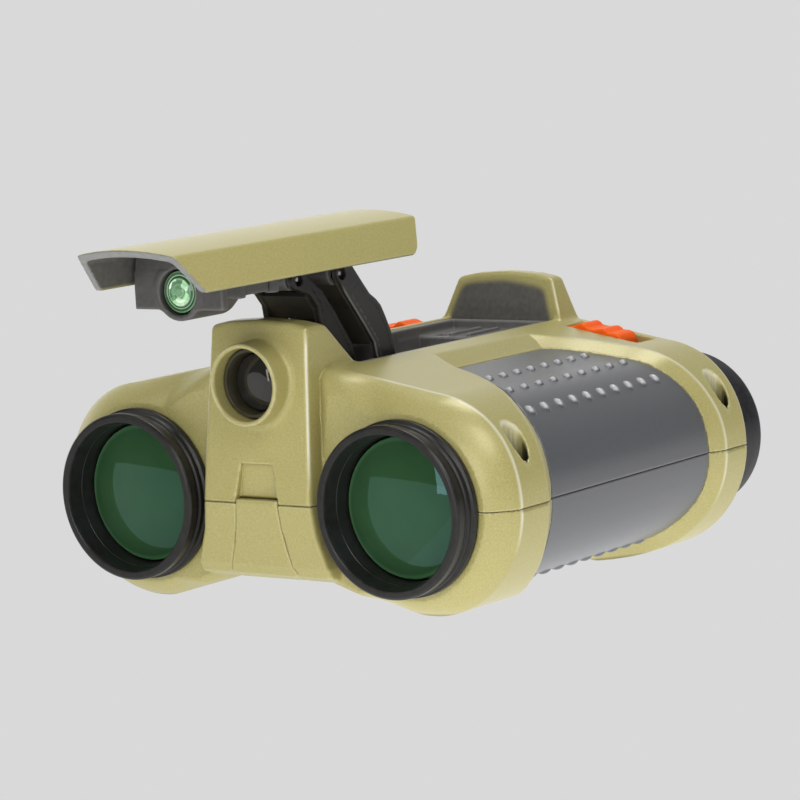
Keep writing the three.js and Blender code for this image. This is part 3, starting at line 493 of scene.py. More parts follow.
def f_tray(p):
    x, y, z = p
    ax = np.abs(x)
    X = RAIL_X - GAP
    f = rbox(x, y, z, -X, X, 17.0, HUMP_Y0 - GAP, 13.0, 27.5, 0.4)
    f = cut(f, rbox(x, y, z, -12.2, 12.2, 18.6, 66, 14.5, 60, 0.5), 0.5)
    f = cut(f, rbox(x, y, z, -12.2, 12.2, 60, 78, 20.8, 60, 0.5), 0.5)
    f = cut(f, rbox(x, y, z, -12.2, 12.2, 70, 91.6, 25.3, 60, 0.5), 0.5)
    f = cut(f, rbox(x, y, z, -9.6, -6.4, 80, 83.4, 22.5, 60, 0.3), 0.3)
    f = cut(f, rbox(x, y, z, 3.0, 8.6, 84.2, 88.0, 22.5, 60, 0.3), 0.3)
    f = cut(f, np.minimum(rbox(x, y, z, -12.2, 12.2, 67.5, 90, 8, 19.2, 0.3), rbox(x, y, z, -12.2, 12.2, 79, 91, 8, 23.4, 0.3)), 0.3)
    f = cut(f, rbox(x, y, z, -40, 40, 10, NOSE_FOOT_Y + 0.3, RAIL_Z - WALL - GAP, 60, 0.1), 0.3)
    for q in (TRAY_FRONT, TRAY_REAR):
        f = cut(f, np.hypot(y - q[0], z - q[1]) - (PIN_R + 0.25), 0.3)
    # guide ribs on the rear platform
    for rx in (-4.2, 0.6):
        f = smin(f, rbox(x, y, z, rx - 0.5, rx + 0.5, 79.0, 91.0, 24.5, 26.1, 0.25), 0.3)
    return f


def arc_pts(cs, cn, r, a0, a1, k):
    return [(cs + r * math.cos(math.radians(a0 + (a1 - a0) * i / k)), cn + r * math.sin(math.radians(a0 + (a1 - a0) * i / k))) for i in range(k + 1)]


REAR_ARM = arc_pts(0, 0, 2.6, 90, 270, 12) + [(6.0, -2.9), (10.5, -4.8), (14.7, -5.5), (17.5, -5.8), (19.6, -5.4), (22.0, -4.5), (26.4, -4.1)] + arc_pts(LINK_L - 0.4, -1.1, 2.9, -60, 75, 10) + [(27.5, 1.8), (18.0, 1.3), (13.0, 1.2), (10.2, 2.4)]
FRONT_ARM = arc_pts(0, 0, 2.6, 90, 270, 12) + [(5.0, -3.2), (9.0, -4.8), (19.0, -4.9), (25.0, -4.4), (28.5, -3.2)] + arc_pts(LINK_L, 0, 2.4, -80, 110, 12) + [(28.6, 0.6), (26.6, -0.7), (23.2, -1.0), (20.5, 0.3), (17.0, 1.0), (10.0, 1.9)]


def f_link(p, arm, base, x0, x1, web, pocket):
    x, y, z = p
    ax = np.abs(x)
    s = (y - base[0]) * UV[0] + (z - base[1]) * UV[1]
    n = (y - base[0]) * NV[0] + (z - base[1]) * NV[1]
    a2 = poly2(s, n, arm)
    f = slab(a2, ax, x0, x1, 0.3)
    f = smin(f, slab(poly2(s, n, web), ax, -x0 - 0.4, x0 + 0.4, 0.3), 0.6)
    # faint panel in the outer face of each arm, clear of the pivots
    panel = np.maximum(np.maximum(a2 + 1.3, pocket[0] - s), s - pocket[1])
    f = cut(f, np.maximum(panel, (x1 - 0.12) - ax), 0.12)
    f = cut(f, np.hypot(s, n) - (PIN_R + 0.25), 0.3)
    return cut(f, np.hypot(s - LINK_L, n) - (PIN_R + 0.25), 0.3)


def arm_edge(p, arm, base, x1):
    """Signed distance across the outer edge of an arm, and a mask for its front side."""
    x, y, z = p
    s = (y - base[0]) * UV[0] + (z - base[1]) * UV[1]
    n = (y - base[0]) * NV[0] + (z - base[1]) * NV[1]
    t = poly2(s, n, arm) + (x1 - np.abs(x))
    return t, 0.8 * np.clip((n + 1.6) / 1.2, 0, 1) * np.clip((s - 4.0) / 2.0, 0, 1) * np.clip((30.0 - s) / 2.0, 0, 1) * np.clip((np.abs(x) - x1 + 1.6) / 0.5, 0, 1)


def f_front_link(p):
    return f_link(p, FRONT_ARM, TRAY_FRONT, 6.0, 7.6, [(19.5, -2.4), (26.0, -2.4), (26.0, -0.9), (23.0, -1.05), (19.5, -0.95)], (4.0, 27.0))


def f_rear_link(p):
    return f_link(p, REAR_ARM, TRAY_REAR, 8.2, 9.8, [(8.6, -3.7), (10.5, -4.55), (14.7, -5.25), (17.5, -5.55), (19.6, -5.15), (22.0, -4.25), (26.0, -3.85), (26.0, -2.6), (22.0, -3.0), (19.4, -3.9), (17.5, -4.25), (14.7, -3.95), (10.5, -3.25), (8.6, -2.5)], (4.0, 26.6))


LID_OUT = [(14.6, LID_Z0 - 6), (14.6, LID_Z0), (12.5, 56.0), (8.2, 56.85), (3.0, 57.25), (0, 57.3)]
RAKE = np.array([-0.95, 1.0]) / math.hypot(0.95, 1.0)


def lid_out(x, y, z):
    ax = np.abs(x)
    w = np.interp(z, [40, LID_Z0, 56, 60], [16.7, 14.6, 12.5, 11.45])
    zt = 57.3 - 1.3 * (ax / 12.5) ** 2
    f = smax((ax - w) * 0.967, z - zt, 0.55)
    f = smax(f, (y - LID_Y1 - 0.3 - 0.3 * (z - 49.0)) * 0.958, 0.9)
    return smax(f, LID_Z0 - z, 0.2)


def rake(y, z):
    """Positive in front of the raked opening of the lid."""
    return ((-21.9 - y) - 0.95 * (z - 40.0)) / math.hypot(1, 0.95)


def f_lid(p):
    x, y, z = p
    ax = np.abs(x)
    f = smax(lid_out(x, y, z), rake(y, z), 0.45)
    w = np.interp(z, [40, 47, 54.6, 60], [15.0, 13.2, 11.2, 9.8])
    zt = 55.7 - 1.1 * (ax / 11.2) ** 2
    hollow = smax(smax((ax - w) * 0.967, z - zt, 1.0), (y - LID_Y1 + 1.4 - 0.3 * (z - 49.0)) * 0.958, 0.8)
    f = cut(f, hollow, 0.3)
    c = ((y - (LID_Y1 - 2.2)) * 0.6 - (z - (LID_Z0 - 0.4)) * 0.8)
    return smax(f, c, 0.4)


def lug(y, z, q, r):
    return np.minimum(np.hypot(y - q[0], z - q[1]) - r, np.maximum(np.abs(y - q[0]) - r, np.maximum(q[1] - z, z - 50.4)))


def f_frame(p):
    x, y, z = p
    ax = np.abs(x)
    f = rbox(x, y, z, -11.8, 11.8, -20.6, 40.9, 49.7, 51.1, 0.3)
    wall = slab(poly2(x, z, [(-11.5, 43.3), (11.5, 43.3), (11.5, 48.6), (10.7, 53.9), (-10.7, 53.9), (-11.5, 48.6)]), y, -21.0, -19.2, 0.35)
    f = smin(f, wall, 0.6)
    r = np.interp(y, [-30, -8.5, -2.5, 4], [5.9, 5.9, 3.0, 0.0])
    barrel = smax(np.hypot(x, z - LAMP_Z) - r, np.maximum(-21.0 - y, y + 2.5), 0.5)
    f = smin(f, np.maximum(barrel, z - 51), 0.8)
    side = cut(rbox(x, y, z, -10.6, 10.6, -20.6, -4.5, 45.4, 50.2, 0.4), rbox(x, y, z, -9.2, 9.2, -19.0, 0, 35, 49.6, 0.3), 0.3)
    f = smin(f, side, 0.5)
    f = smin(f, slab(lug(y, z, LID_FRONT, 2.4), x, -5.6, 5.6, 0.3), 0.5)
    f = smin(f, slab(lug(y, z, LID_REAR, 2.6), x, -7.8, 7.8, 0.3), 0.5)
    for by in (-13.7, -2.7):
        f = smin(f, rcyl(ax - 9.8, y - by, z, 1.5, 45.0, 50.4, 0.3), 0.4)
    f = cut(f, rcyl(x, z - LAMP_Z, y, 4.7, -40, -10.0, 0.2), 0.5)
    f = cut(f, rcyl(x, z - LAMP_Z, y, 1.9, -12, -7.0, 0.1), 0.2)
    for q in (LID_FRONT, LID_REAR):
        f = cut(f, np.hypot(y - q[0], z - q[1]) - (PIN_R + 0.25), 0.3)
    return f


S0 = SLOT[0] + 0.4
WAVE_D = [0.0, 1.6, 3.2, 4.0, 4.8, 5.5, 6.6, 8.7, 9.6, 10.3, 10.9, 11.7, 12.4, 13.3, 14.2]
WAVE_H = [-0.4, 0.15, 1.0, 1.22, 0.98, 0.5, 0.45, 0.98, 1.15, 0.9, 0.55, 0.62, 0.72, 0.55, -0.5]
WAVE = smooth_curve(WAVE_D, WAVE_H, 200)


def f_slider(p, side, shift):
    x, y, z = p
    x, z = side * x - shift / math.hypot(1, SLOPE), z + shift * SLOPE / math.hypot(1, SLOPE)
    top = RAIL_Z - SLOPE * (x - RAIL_X)
    d = x - S0
    c = 1 / math.hypot(1, SLOPE)
    crest = (z - top - np.interp(d, *WAVE)) * 0.8
    f = smax(crest, np.abs(d - 7.1) - 7.1, 0.5)
    f = smax(f, np.abs(y - 94.0) - 3.4, 0.5)
    f = np.maximum(f, top - 3.2 - z)
    foot = np.maximum(np.abs(d - 7.1) - 8.7, np.maximum(SLOT[2] - 1.0 - y, y - (SLOT[3] + 0.15)))
    foot = np.maximum(foot, np.maximum((z - top + WALL + 0.45) * c, (top - WALL - 1.7 - z) * c))
    return smin(f, foot, 0.3)


def f_screw(p, sx, sy):
    x, y, z = p[0] - sx, p[1] - sy, p[2] - SEAT_Z
    f = rcyl(x, y, z, 2.35, 0.3, 1.9, 0.35)
    f = np.minimum(f, rcyl(x, y, z, 1.05, -12.0, 0.6, 0.2))
    cross = np.minimum(rbox(x, y, z, -1.5, 1.5, -0.3, 0.3, 1.1, 5, 0.05), rbox(x, y, z, -0.3, 0.3, -1.5, 1.5, 1.1, 5, 0.05))
    return cut(f, cross, 0.15)


def f_contact(p, side):
    x, y, z = side * p[0], p[1], p[2]
    f = rbox(x, y, z, 9.2, 9.6, 6.6, 17.4, -12.6, -2.2, 0.15)
    dome = np.sqrt((x - 9.4) ** 2 * 9 + (y - 12.0) ** 2 + (z + 7.6) ** 2) - 2.0
    return smin(f, np.maximum(dome * 0.4, 8.75 - x), 0.4)


# ------------------------------------------------------------------ meshing
CORNERS = np.array([(i, j, k) for i in (0, 1) for j in (0, 1) for k in (0, 1)])
EDGES = [(a, b) for a in range(8) for b in range(a + 1, 8) if np.abs(CORNERS[a] - CORNERS[b]).sum() == 1]


def gradient(f, V, e):
    g = np.empty_like(V)
    for a in range(3):
        d = np.zeros(3)
        d[a] = e
        g[:, a] = (f((V + d).T) - f((V - d).T)) / (2 * e)
    return g


def extract(f, lo, hi, h):
    lo = np.array(lo, float) - 2.5 * h
    hi = np.array(hi, float) + 2.5 * h
    B = 8
    nb = np.ceil(((hi - lo) / h + 1) / B).astype(int)
    n = nb * B
    F = np.empty(tuple(n), np.float32)
    idx = np.stack(np.meshgrid(*[np.arange(k) for k in nb], indexing="ij"), -1).reshape(-1, 3)
    fc = f((lo + (idx * B + (B - 1) / 2) * h).T)
    F.reshape(nb[0], B, nb[1], B, nb[2], B)[...] = fc.reshape(tuple(nb))[:, None, :, None, :, None]
    act = idx[np.abs(fc) < 0.87 * B * h * 1.35 + 0.8]
    off = np.stack(np.meshgrid(*[np.arange(B)] * 3, indexing="ij"), -1).reshape(-1, 3)
    for c in range(0, len(act), 800):
        g = (act[c:c + 800][:, None, :] * B + off[None]).reshape(-1, 3)
        F[g[:, 0], g[:, 1], g[:, 2]] = f((lo + g * h).T)
    S = F < 0
    m = tuple(n - 1)
    cnt = np.zeros(m, np.uint8)
    for dx, dy, dz in CORNERS:
        cnt += S[dx:dx + m[0], dy:dy + m[1], dz:dz + m[2]]
    cells = np.argwhere((cnt > 0) & (cnt < 8))
    vals = np.stack([F[cells[:, 0] + dx, cells[:, 1] + dy, cells[:, 2] + dz] for dx, dy, dz in CORNERS], 1).astype(float)
    acc = np.zeros((len(cells), 3))
    num = np.zeros(len(cells))
    for a, b in EDGES:
        fa, fb = vals[:, a], vals[:, b]
        cr = (fa < 0) != (fb < 0)
        t = np.where(cr, fa / np.where(cr, fa - fb, 1.0), 0.0)
        acc += np.where(cr[:, None], CORNERS[a] + t[:, None] * (CORNERS[b] - CORNERS[a]), 0.0)
        num += cr
    V = lo + (cells + acc / num[:, None]) * h
    ids = np.full(m, -1, np.int32)
    ids[cells[:, 0], cells[:, 1], cells[:, 2]] = np.arange(len(cells))
    quads = []
    for a in range(3):
        b, c = (a + 1) % 3, (a + 2) % 3
        sl0, sl1 = [slice(None)] * 3, [slice(None)] * 3
        sl0[a], sl1[a] = slice(0, -1), slice(1, None)
        s0, s1 = S[tuple(sl0)], S[tuple(sl1)]
        e = np.argwhere(s0 != s1)
        e = e[(e[:, b] >= 1) & (e[:, c] >= 1) & (e[:, b] <= n[b] - 2) & (e[:, c] <= n[c] - 2)]
        up = s0[e[:, 0], e[:, 1], e[:, 2]]
        corner = []
        for db, dc in ((-1, -1), (0, -1), (0, 0), (-1, 0)):
            q = e.copy()
            q[:, b] += db
            q[:, c] += dc
            corner.append(ids[q[:, 0], q[:, 1], q[:, 2]])
        q = np.stack(corner, 1)
        q[~up] = q[~up][:, ::-1]
        quads.append(q)
    Q = np.concatenate(quads)
    for _ in range(2):
        v = f(V.T)
        g = gradient(f, V, 0.06)
        step = (v / np.maximum((g * g).sum(1), 0.05))[:, None] * g
        ln = np.linalg.norm(step, axis=1)
        V = V - step * np.minimum(1, 0.5 * h / np.maximum(ln, 1e-9))[:, None]
    return V, Q


def make(name, V, faces, normals=None, attrs=None):
    """New mesh object from design-frame points; faces is an array of quads or a list of tuples."""
    me = bpy.data.meshes.new(name)
    P = ((np.asarray(V) + SHIFT) / 1000.0).astype(np.float32)
    if isinstance(faces, np.ndarray):
        k = faces.shape[1]
        me.vertices.add(len(P))
        me.vertices.foreach_set("co", P.ravel())
        me.loops.add(faces.size)
        me.loops.foreach_set("vertex_index", faces.astype(np.int32).ravel())
        me.polygons.add(len(faces))
        me.polygons.foreach_set("loop_start", np.arange(0, faces.size, k, dtype=np.int32))
        me.update(calc_edges=True)
    else:
        me.from_pydata(P.tolist(), [], faces)
        me.update()
    me.validate()
    me.polygons.foreach_set("use_smooth", np.ones(len(me.polygons), bool))
    for key, val in (attrs or {}).items():
        me.attributes.new(key, "FLOAT", "POINT").data.foreach_set("value", np.asarray(val, np.float32))
    if normals is not None:
        me.normals_split_custom_set_from_vertices(np.asarray(normals, float).tolist())
    ob = bpy.data.objects.new(name, me)
    bpy.context.scene.collection.objects.link(ob)
    return ob


def settle(ob, node, material):
    ob.data.materials.append(material)
    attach(ob, BODY_OF[node])
    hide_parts(node)
    return ob


def sculpt(name, node, f, lo, hi, h, material, attrs=None, thin=None):
    """Meshes a distance field, with exact normals; thin(V) gives the weight by which hidden faces are merged."""
    V, Q = extract(f, lo, hi, h)
    ob = None
    if thin is not None:
        ob = make(name + "_fine", V, Q)
        w = thin(V.T)
        vg = ob.vertex_groups.new(name="hidden")
        sel = np.nonzero(w > 0.5)[0]
        vg.add(sel.tolist(), 1.0, "REPLACE")
        md = ob.modifiers.new("Decimate", "DECIMATE")
        md.vertex_group = "hidden"
        md.vertex_group_factor = 1000.0
        md.ratio = 1.0 - 0.88 * len(sel) / len(V)
        dg = bpy.context.evaluated_depsgraph_get()
        me = bpy.data.meshes.new_from_object(ob.evaluated_get(dg))
        co = np.empty(len(me.vertices) * 3, np.float32)
        me.vertices.foreach_get("co", co)
        V = co.reshape(-1, 3) * 1000.0 - SHIFT
        F = [tuple(p.vertices) for p in me.polygons]
        bpy.data.objects.remove(ob, do_unlink=True)
        bpy.data.meshes.remove(me)
        Q = F
    g = gradient(f, V, 0.12)
    ln = np.linalg.norm(g, axis=1)
    N = g / np.maximum(ln, 1e-6)[:, None]
    # curvature of the surface: convex edges get paler colour (edge wear and painted highlight), concave creases darker
    # colour (painted shade)
    e = 0.7
    lap = -6 * f(V.T)
    for a in range(3):
        d = np.zeros(3)
        d[a] = e
        lap = lap + f((V + d).T) + f((V - d).T)
    data = {"edge": np.clip(lap / (e * e) * 0.35, -1, 1)}
    for key, fn in (attrs or {}).items():
        data[key] = fn(V.T, N)
    ob = make(name, V, Q, N, data)
    return settle(ob, node, material)


def lathe(name, node, profile, cx, cz, material, seg=112, r=0.25, axis="y", attrs=None, warp=None):
    """Turned piece about an axis along y (or x); the profile is a list of (radius, place along the axis)."""
    on_axis = profile[0][0] == 0 and profile[-1][0] == 0
    pts = round_path(profile, r, 4, closed=not on_axis)
    a = np.linspace(0, 2 * math.pi, seg, endpoint=False)
    V, faces = [], []
    ring = []
    for rad, w in pts:
        if rad < 1e-6:
            ring.append([len(V)])
            V.append((0, w, 0))
        else:
            ring.append(list(range(len(V), len(V) + seg)))
            k = warp(a, rad, w) if warp else 0.0
            V.extend(zip((rad + k) * np.cos(a), np.full(seg, w), (rad + k) * np.sin(a)))
    n = len(ring)
    for i in range(n if not on_axis else n - 1):
        A, C = ring[i], ring[(i + 1) % n]
        if len(A) == 1 and len(C) == 1:
            continue
        for j in range(seg):
            k = (j + 1) % seg
            if len(A) == 1:
                faces.append((A[0], C[j], C[k]))
            elif len(C) == 1:
                faces.append((A[j], C[0], A[k]))
            else:
                faces.append((A[j], C[j], C[k], A[k]))
    V = np.array(V, float)
    # outward winding
    vol = 0.0
    tri = [(q[0], q[i], q[i + 1]) for q in faces for i in range(1, len(q) - 1)]
    T = V[np.array(tri)]
    vol = np.einsum("ij,ij->i", T[:, 0], np.cross(T[:, 1], T[:, 2])).sum()
    if vol < 0:
        faces = [tuple(reversed(q)) for q in faces]
        tri = [(t[0], t[2], t[1]) for t in tri]
        T = V[np.array(tri)]
    fn = np.cross(T[:, 1] - T[:, 0], T[:, 2] - T[:, 0])
    N = np.zeros_like(V)
    for k in range(3):
        np.add.at(N, np.array(tri)[:, k], fn)
    N /= np.maximum(np.linalg.norm(N, axis=1), 1e-12)[:, None]
    radial = np.hypot(V[:, 0], V[:, 2])
    data = {"radius": radial}
    if axis == "x":
        V = np.stack([V[:, 1], V[:, 0], V[:, 2]], 1)
        N = np.stack([N[:, 1], N[:, 0], N[:, 2]], 1)
        faces = [tuple(reversed(q)) for q in faces]
        V = V + np.array([0, cx, cz])
    else:
        V = V + np.array([cx, 0, cz])
    ob = make(name, V, faces, N, data)
    return settle(ob, node, material)


# ------------------------------------------------------------------ materials
def shader(name):
    m = bpy.data.materials.new(name)
    m.use_nodes = True
    nt = m.node_tree
    b = next(n for n in nt.nodes if n.type == "BSDF_PRINCIPLED")
    tc = nt.nodes.new("ShaderNodeTexCoord")
    return m, nt, b, tc


def noise(nt, tc, scale, detail=2.0, rough=0.5):
    n = nt.nodes.new("ShaderNodeTexNoise")
    n.inputs["Scale"].default_value = scale
    n.inputs["Detail"].default_value = detail
    n.inputs["Roughness"].default_value = rough
    nt.links.new(tc.outputs["Object"], n.inputs["Vector"])
    return n.outputs["Fac"]


def ramp(nt, fac, stops):
    r = nt.nodes.new("ShaderNodeValToRGB")
    el = r.color_ramp.elements
    while len(el) < len(stops):
        el.new(0.5)
    for e, (p, c) in zip(el, stops):
        e.position = p
        e.color = (*c, 1.0) if len(c) == 3 else c
    nt.links.new(fac, r.inputs["Fac"])
    return r.outputs["Color"]


def span(nt, fac, a, b, c, d):
    r = nt.nodes.new("ShaderNodeMapRange")
    for key, v in zip(("From Min", "From Max", "To Min", "To Max"), (a, b, c, d)):
        r.inputs[key].default_value = v
    nt.links.new(fac, r.inputs["Value"])
    return r.outputs["Result"]


def attribute(nt, name):
    a = nt.nodes.new("ShaderNodeAttribute")
    a.attribute_name = name
    return a.outputs["Fac"]


def mix(nt, fac, a, b, mode="MIX"):
    n = nt.nodes.new("ShaderNodeMix")
    n.data_type = "RGBA"
    n.blend_type = mode
    for key, v in (("Factor", fac), ("A", a), ("B", b)):
        sock = next(s for s in n.inputs if s.name == key and (key == "Factor" and s.type == "VALUE" or key != "Factor" and s.type == "RGBA"))
        if isinstance(v, (int, float)):
            sock.default_value = v
        elif isinstance(v, tuple):
            sock.default_value = (*v, 1.0)
        else:
            nt.links.new(v, sock)
    return next(s for s in n.outputs if s.type == "RGBA")


def bump(nt, b, height, strength, distance):
    n = nt.nodes.new("ShaderNodeBump")
    n.inputs["Strength"].default_value = strength
    n.inputs["Distance"].default_value = distance
    nt.links.new(height, n.inputs["Height"])
    nt.links.new(n.outputs["Normal"], b.inputs["Normal"])


def put(b, **kw):
    for k, v in kw.items():
        b.inputs[k.replace("_", " ")].default_value = v


def painted_edge_highlight(nt, col, colour, width):
    """Thin pale line painted along an edge as a highlight."""
    near = nt.nodes.new("ShaderNodeMath")
    near.operation = "ABSOLUTE"
    nt.links.new(attribute(nt, "line"), near.inputs[0])
    thin = nt.nodes.new("ShaderNodeMath")
    thin.operation = "MULTIPLY"
    nt.links.new(span(nt, near.outputs[0], 0.05, width, 1.0, 0.0), thin.inputs[0])
    nt.links.new(attribute(nt, "highlight_strength"), thin.inputs[1])
    return mix(nt, thin.outputs[0], col, colour)


def gold_paint(name, bare=None, rim=None, gain=1.0):
    """Satin metallic paint: fine flake, paler on convex edges (edge wear and painted highlight), darker in concave
    creases (painted shade), with painted shade, painted highlights and painted highlight lines taken from attributes;
    bare and rim name the attributes where the plastic shows.
    """
    m, nt, b, tc = shader(name)
    grain = noise(nt, tc, 3200, 2.0, 0.6)
    col = ramp(nt, grain, [(q, tuple(gain * k for k in c)) for q, c in ((0.27, (0.366, 0.322, 0.110)), (0.5, (0.416, 0.370, 0.136)), (0.74, (0.487, 0.439, 0.180)))])
    cloud = noise(nt, tc, 38, 2.0)
    col = mix(nt, span(nt, cloud, 0.3, 0.75, 0.0, 0.14), col, (0.46, 0.42, 0.19))
    edge = attribute(nt, "edge")
    # convex edges paler: edge wear and painted highlight
    col = mix(nt, span(nt, edge, 0.35, 1.0, 0.0, 0.42), col, (0.66, 0.62, 0.38))
    # concave creases darker: painted shade
    col = mix(nt, span(nt, edge, -0.15, -0.9, 0.0, 0.4), col, (0.20, 0.17, 0.05))
    # near-black painted shade down the screw wells
    col = mix(nt, attribute(nt, "hollow_shade"), col, (0.012, 0.011, 0.007))
    # painted shade low on the sides of the nose
    col = mix(nt, attribute(nt, "shade"), col, (0.15, 0.125, 0.042))
    # painted highlight on the inner side of the well mouths
    col = mix(nt, attribute(nt, "well_mouth_highlight"), col, (0.90, 0.87, 0.70))
    # painted highlight lines along creases and edges
    col = painted_edge_highlight(nt, col, (0.86, 0.84, 0.70), 0.58)
    rough = span(nt, grain, 0.25, 0.75, 0.32, 0.44)
    put(b, Metallic=0.12, Specular_IOR_Level=0.5, Coat_Weight=0.14, Coat_Roughness=0.2)
    if bare:
        mask = attribute(nt, bare)
        g2 = noise(nt, tc, 900, 2.0)
        col = mix(nt, mask, col, ramp(nt, g2, [(0.3, (0.090, 0.085, 0.076)), (0.7, (0.120, 0.113, 0.102))]))
        if rim:
            col = mix(nt, attribute(nt, rim), col, ramp(nt, g2, [(0.3, (0.205, 0.208, 0.198)), (0.7, (0.245, 0.248, 0.238))]))
        nt.links.new(span(nt, mask, 0.0, 1.0, 0.12, 0.0), b.inputs["Metallic"])
        nt.links.new(span(nt, mask, 0.0, 1.0, 0.14, 0.0), b.inputs["Coat Weight"])
    nt.links.new(col, b.inputs["Base Color"])
    nt.links.new(rough, b.inputs["Roughness"])
    bump(nt, b, grain, 0.12, 0.00005)
    return m


def plastic(name, dark, light, r0, r1, scale=700, bump_s=0.15, dist=0.00005, edge_light=None, spec=0.5, big=None, hollow_shade=None, line_highlight_colour=None, bump_highlight_colour=None):
    m, nt, b, tc = shader(name)
    n = noise(nt, tc, scale, 3.0, 0.6)
    col = ramp(nt, n, [(0.3, dark), (0.7, light)])
    # painted shading tone in hollows and between parts
    if hollow_shade:
        col = mix(nt, attribute(nt, "hollow_shade"), col, hollow_shade)
    if big:
        col = mix(nt, span(nt, noise(nt, tc, 55, 2.0), 0.35, 0.7, 0.0, 0.5), col, big)
    # convex edges paler: edge wear and painted highlight
    if edge_light:
        col = mix(nt, span(nt, attribute(nt, "edge"), 0.1, 0.9, 0.0, 0.5), col, edge_light)
    # painted highlight line along an edge
    if line_highlight_colour:
        col = painted_edge_highlight(nt, col, line_highlight_colour, 0.4)
    # painted highlight on the upper front sides of the bumps
    if bump_highlight_colour:
        col = mix(nt, attribute(nt, "bump_highlight"), col, bump_highlight_colour)
    nt.links.new(col, b.inputs["Base Color"])
    nt.links.new(span(nt, n, 0.3, 0.7, r0, r1), b.inputs["Roughness"])
    put(b, Specular_IOR_Level=spec)
    if bump_s:
        bump(nt, b, n, bump_s, dist)
    return m


def glass(name, dark, light, r, rim=None, rim_r=None, coat=0.0, tint=None, spec=0.5):
    m, nt, b, tc = shader(name)
    n = noise(nt, tc, 120, 2.0)
    col = ramp(nt, n, [(0.3, dark), (0.7, light)])
    if rim:
        col = mix(nt, span(nt, attribute(nt, "radius"), rim_r[0], rim_r[1], 0.0, 1.0), col, rim)
    nt.links.new(col, b.inputs["Base Color"])
    nt.links.new(span(nt, n, 0.3, 0.7, r, r + 0.02), b.inputs["Roughness"])
    put(b, Specular_IOR_Level=spec, Coat_Weight=coat, Coat_Roughness=0.02)
    if tint:
        put(b, Specular_Tint=(*tint, 1.0))
    return m


def metal(name, dark, light, r0, r1, scale=400):
    m, nt, b, tc = shader(name)
    n = noise(nt, tc, scale, 3.0, 0.6)
    nt.links.new(ramp(nt, n, [(0.3, dark), (0.7, light)]), b.inputs["Base Color"])
    nt.links.new(span(nt, n, 0.3, 0.7, r0, r1), b.inputs["Roughness"])
    put(b, Metallic=1.0)
    bump(nt, b, n, 0.08, 0.00003)
    return m


def lamp_glass(name):
    """Ringed green lamp glass: dark outer zone with thin bright rings, broken bright facets in the middle; the bright
    rings and facets are painted reflections of the cup and LED behind, and a weak emission adds a painted glow.
    """
    m, nt, b, tc = shader(name)
    rad = attribute(nt, "radius")
    rings = ramp(nt, span(nt, rad, 0.0, 4.4, 0.0, 1.0), [
        (0.0, (0.42, 0.74, 0.40)), (0.16, (0.26, 0.55, 0.27)), (0.22, (0.55, 0.85, 0.52)), (0.30, (0.16, 0.40, 0.18)), (0.42, (0.48, 0.78, 0.45)),
        (0.54, (0.12, 0.32, 0.14)), (0.62, (0.40, 0.66, 0.38)), (0.66, (0.03, 0.10, 0.04)), (0.74, (0.02, 0.06, 0.025)), (0.78, (0.30, 0.52, 0.28)),
        (0.81, (0.025, 0.07, 0.03)), (0.90, (0.02, 0.055, 0.022)), (0.93, (0.20, 0.40, 0.20)), (0.97, (0.02, 0.05, 0.02))])
    v = nt.nodes.new("ShaderNodeTexVoronoi")
    v.inputs["Scale"].default_value = 620.0
    nt.links.new(tc.outputs["Object"], v.inputs["Vector"])
    facet = nt.nodes.new("ShaderNodeSeparateColor")
    nt.links.new(v.outputs["Color"], facet.inputs[0])
    broken = ramp(nt, facet.outputs[0], [(0.0, (0.02, 0.07, 0.03)), (0.38, (0.10, 0.28, 0.12)), (0.5, (0.66, 0.95, 0.60)), (0.75, (0.95, 1.0, 0.88)), (1.0, (0.34, 0.66, 0.34))])
    col = mix(nt, span(nt, rad, 2.6, 3.0, 0.72, 0.0), rings, broken)
    nt.links.new(col, b.inputs["Base Color"])
    nt.links.new(span(nt, noise(nt, tc, 300, 1.0), 0.3, 0.7, 0.04, 0.09), b.inputs["Roughness"])
    # painted glow: a weak emission stands in for light returned by the cup behind, with the lamp off
    nt.links.new(col, b.inputs["Emission Color"])
    put(b, Specular_IOR_Level=0.6, Coat_Weight=0.5, Coat_Roughness=0.03, Emission_Strength=0.24)
    return m


M_GOLD = gold_paint("gold_paint")
M_GOLD_BARE = gold_paint("gold_paint_masked", "bare")
# the lid's copy of the gold is paler (gain 1.13): painted light for the brighter light on the lid
M_GOLD_LID = gold_paint("gold_paint_lid", "bare", "rim", 1.13)
# grip grey: paler convex edges (edge wear and painted highlight) and a painted highlight on the bumps
M_GRIP = plastic("grip_grey", (0.089, 0.0920, 0.0985), (0.0965, 0.1000, 0.1065), 0.28, 0.32, 700, 0.0, 0.0, (0.17, 0.17, 0.183), 0.75, None, None, None, (0.47, 0.475, 0.50))
M_TRAY = plastic("tray_plastic", (0.130, 0.125, 0.117), (0.170, 0.164, 0.154), 0.34, 0.46, 900, 0.2, 0.00005, (0.20, 0.20, 0.20), 0.5, None, (0.012, 0.011, 0.009))
M_DARK = plastic("dark_plastic", (0.060, 0.057, 0.053), (0.082, 0.078, 0.073), 0.38, 0.52, 900, 0.2, 0.00005, (0.15, 0.15, 0.15), 0.5)
M_LINK = plastic("link_plastic", (0.014, 0.0135, 0.013), (0.022, 0.0215, 0.021), 0.34, 0.46, 900, 0.2, 0.00005, (0.040, 0.040, 0.041), 0.5, None, (0.105, 0.092, 0.072), (0.22, 0.22, 0.22))
# a darker copy of the link plastic for the front link: painted shade for its place under the lid
M_LINK_FRONT = plastic("front_link_plastic", (0.0125, 0.0115, 0.0105), (0.019, 0.0175, 0.016), 0.36, 0.48, 900, 0.2, 0.00005, (0.034, 0.033, 0.032), 0.35, None, (0.046, 0.041, 0.034))
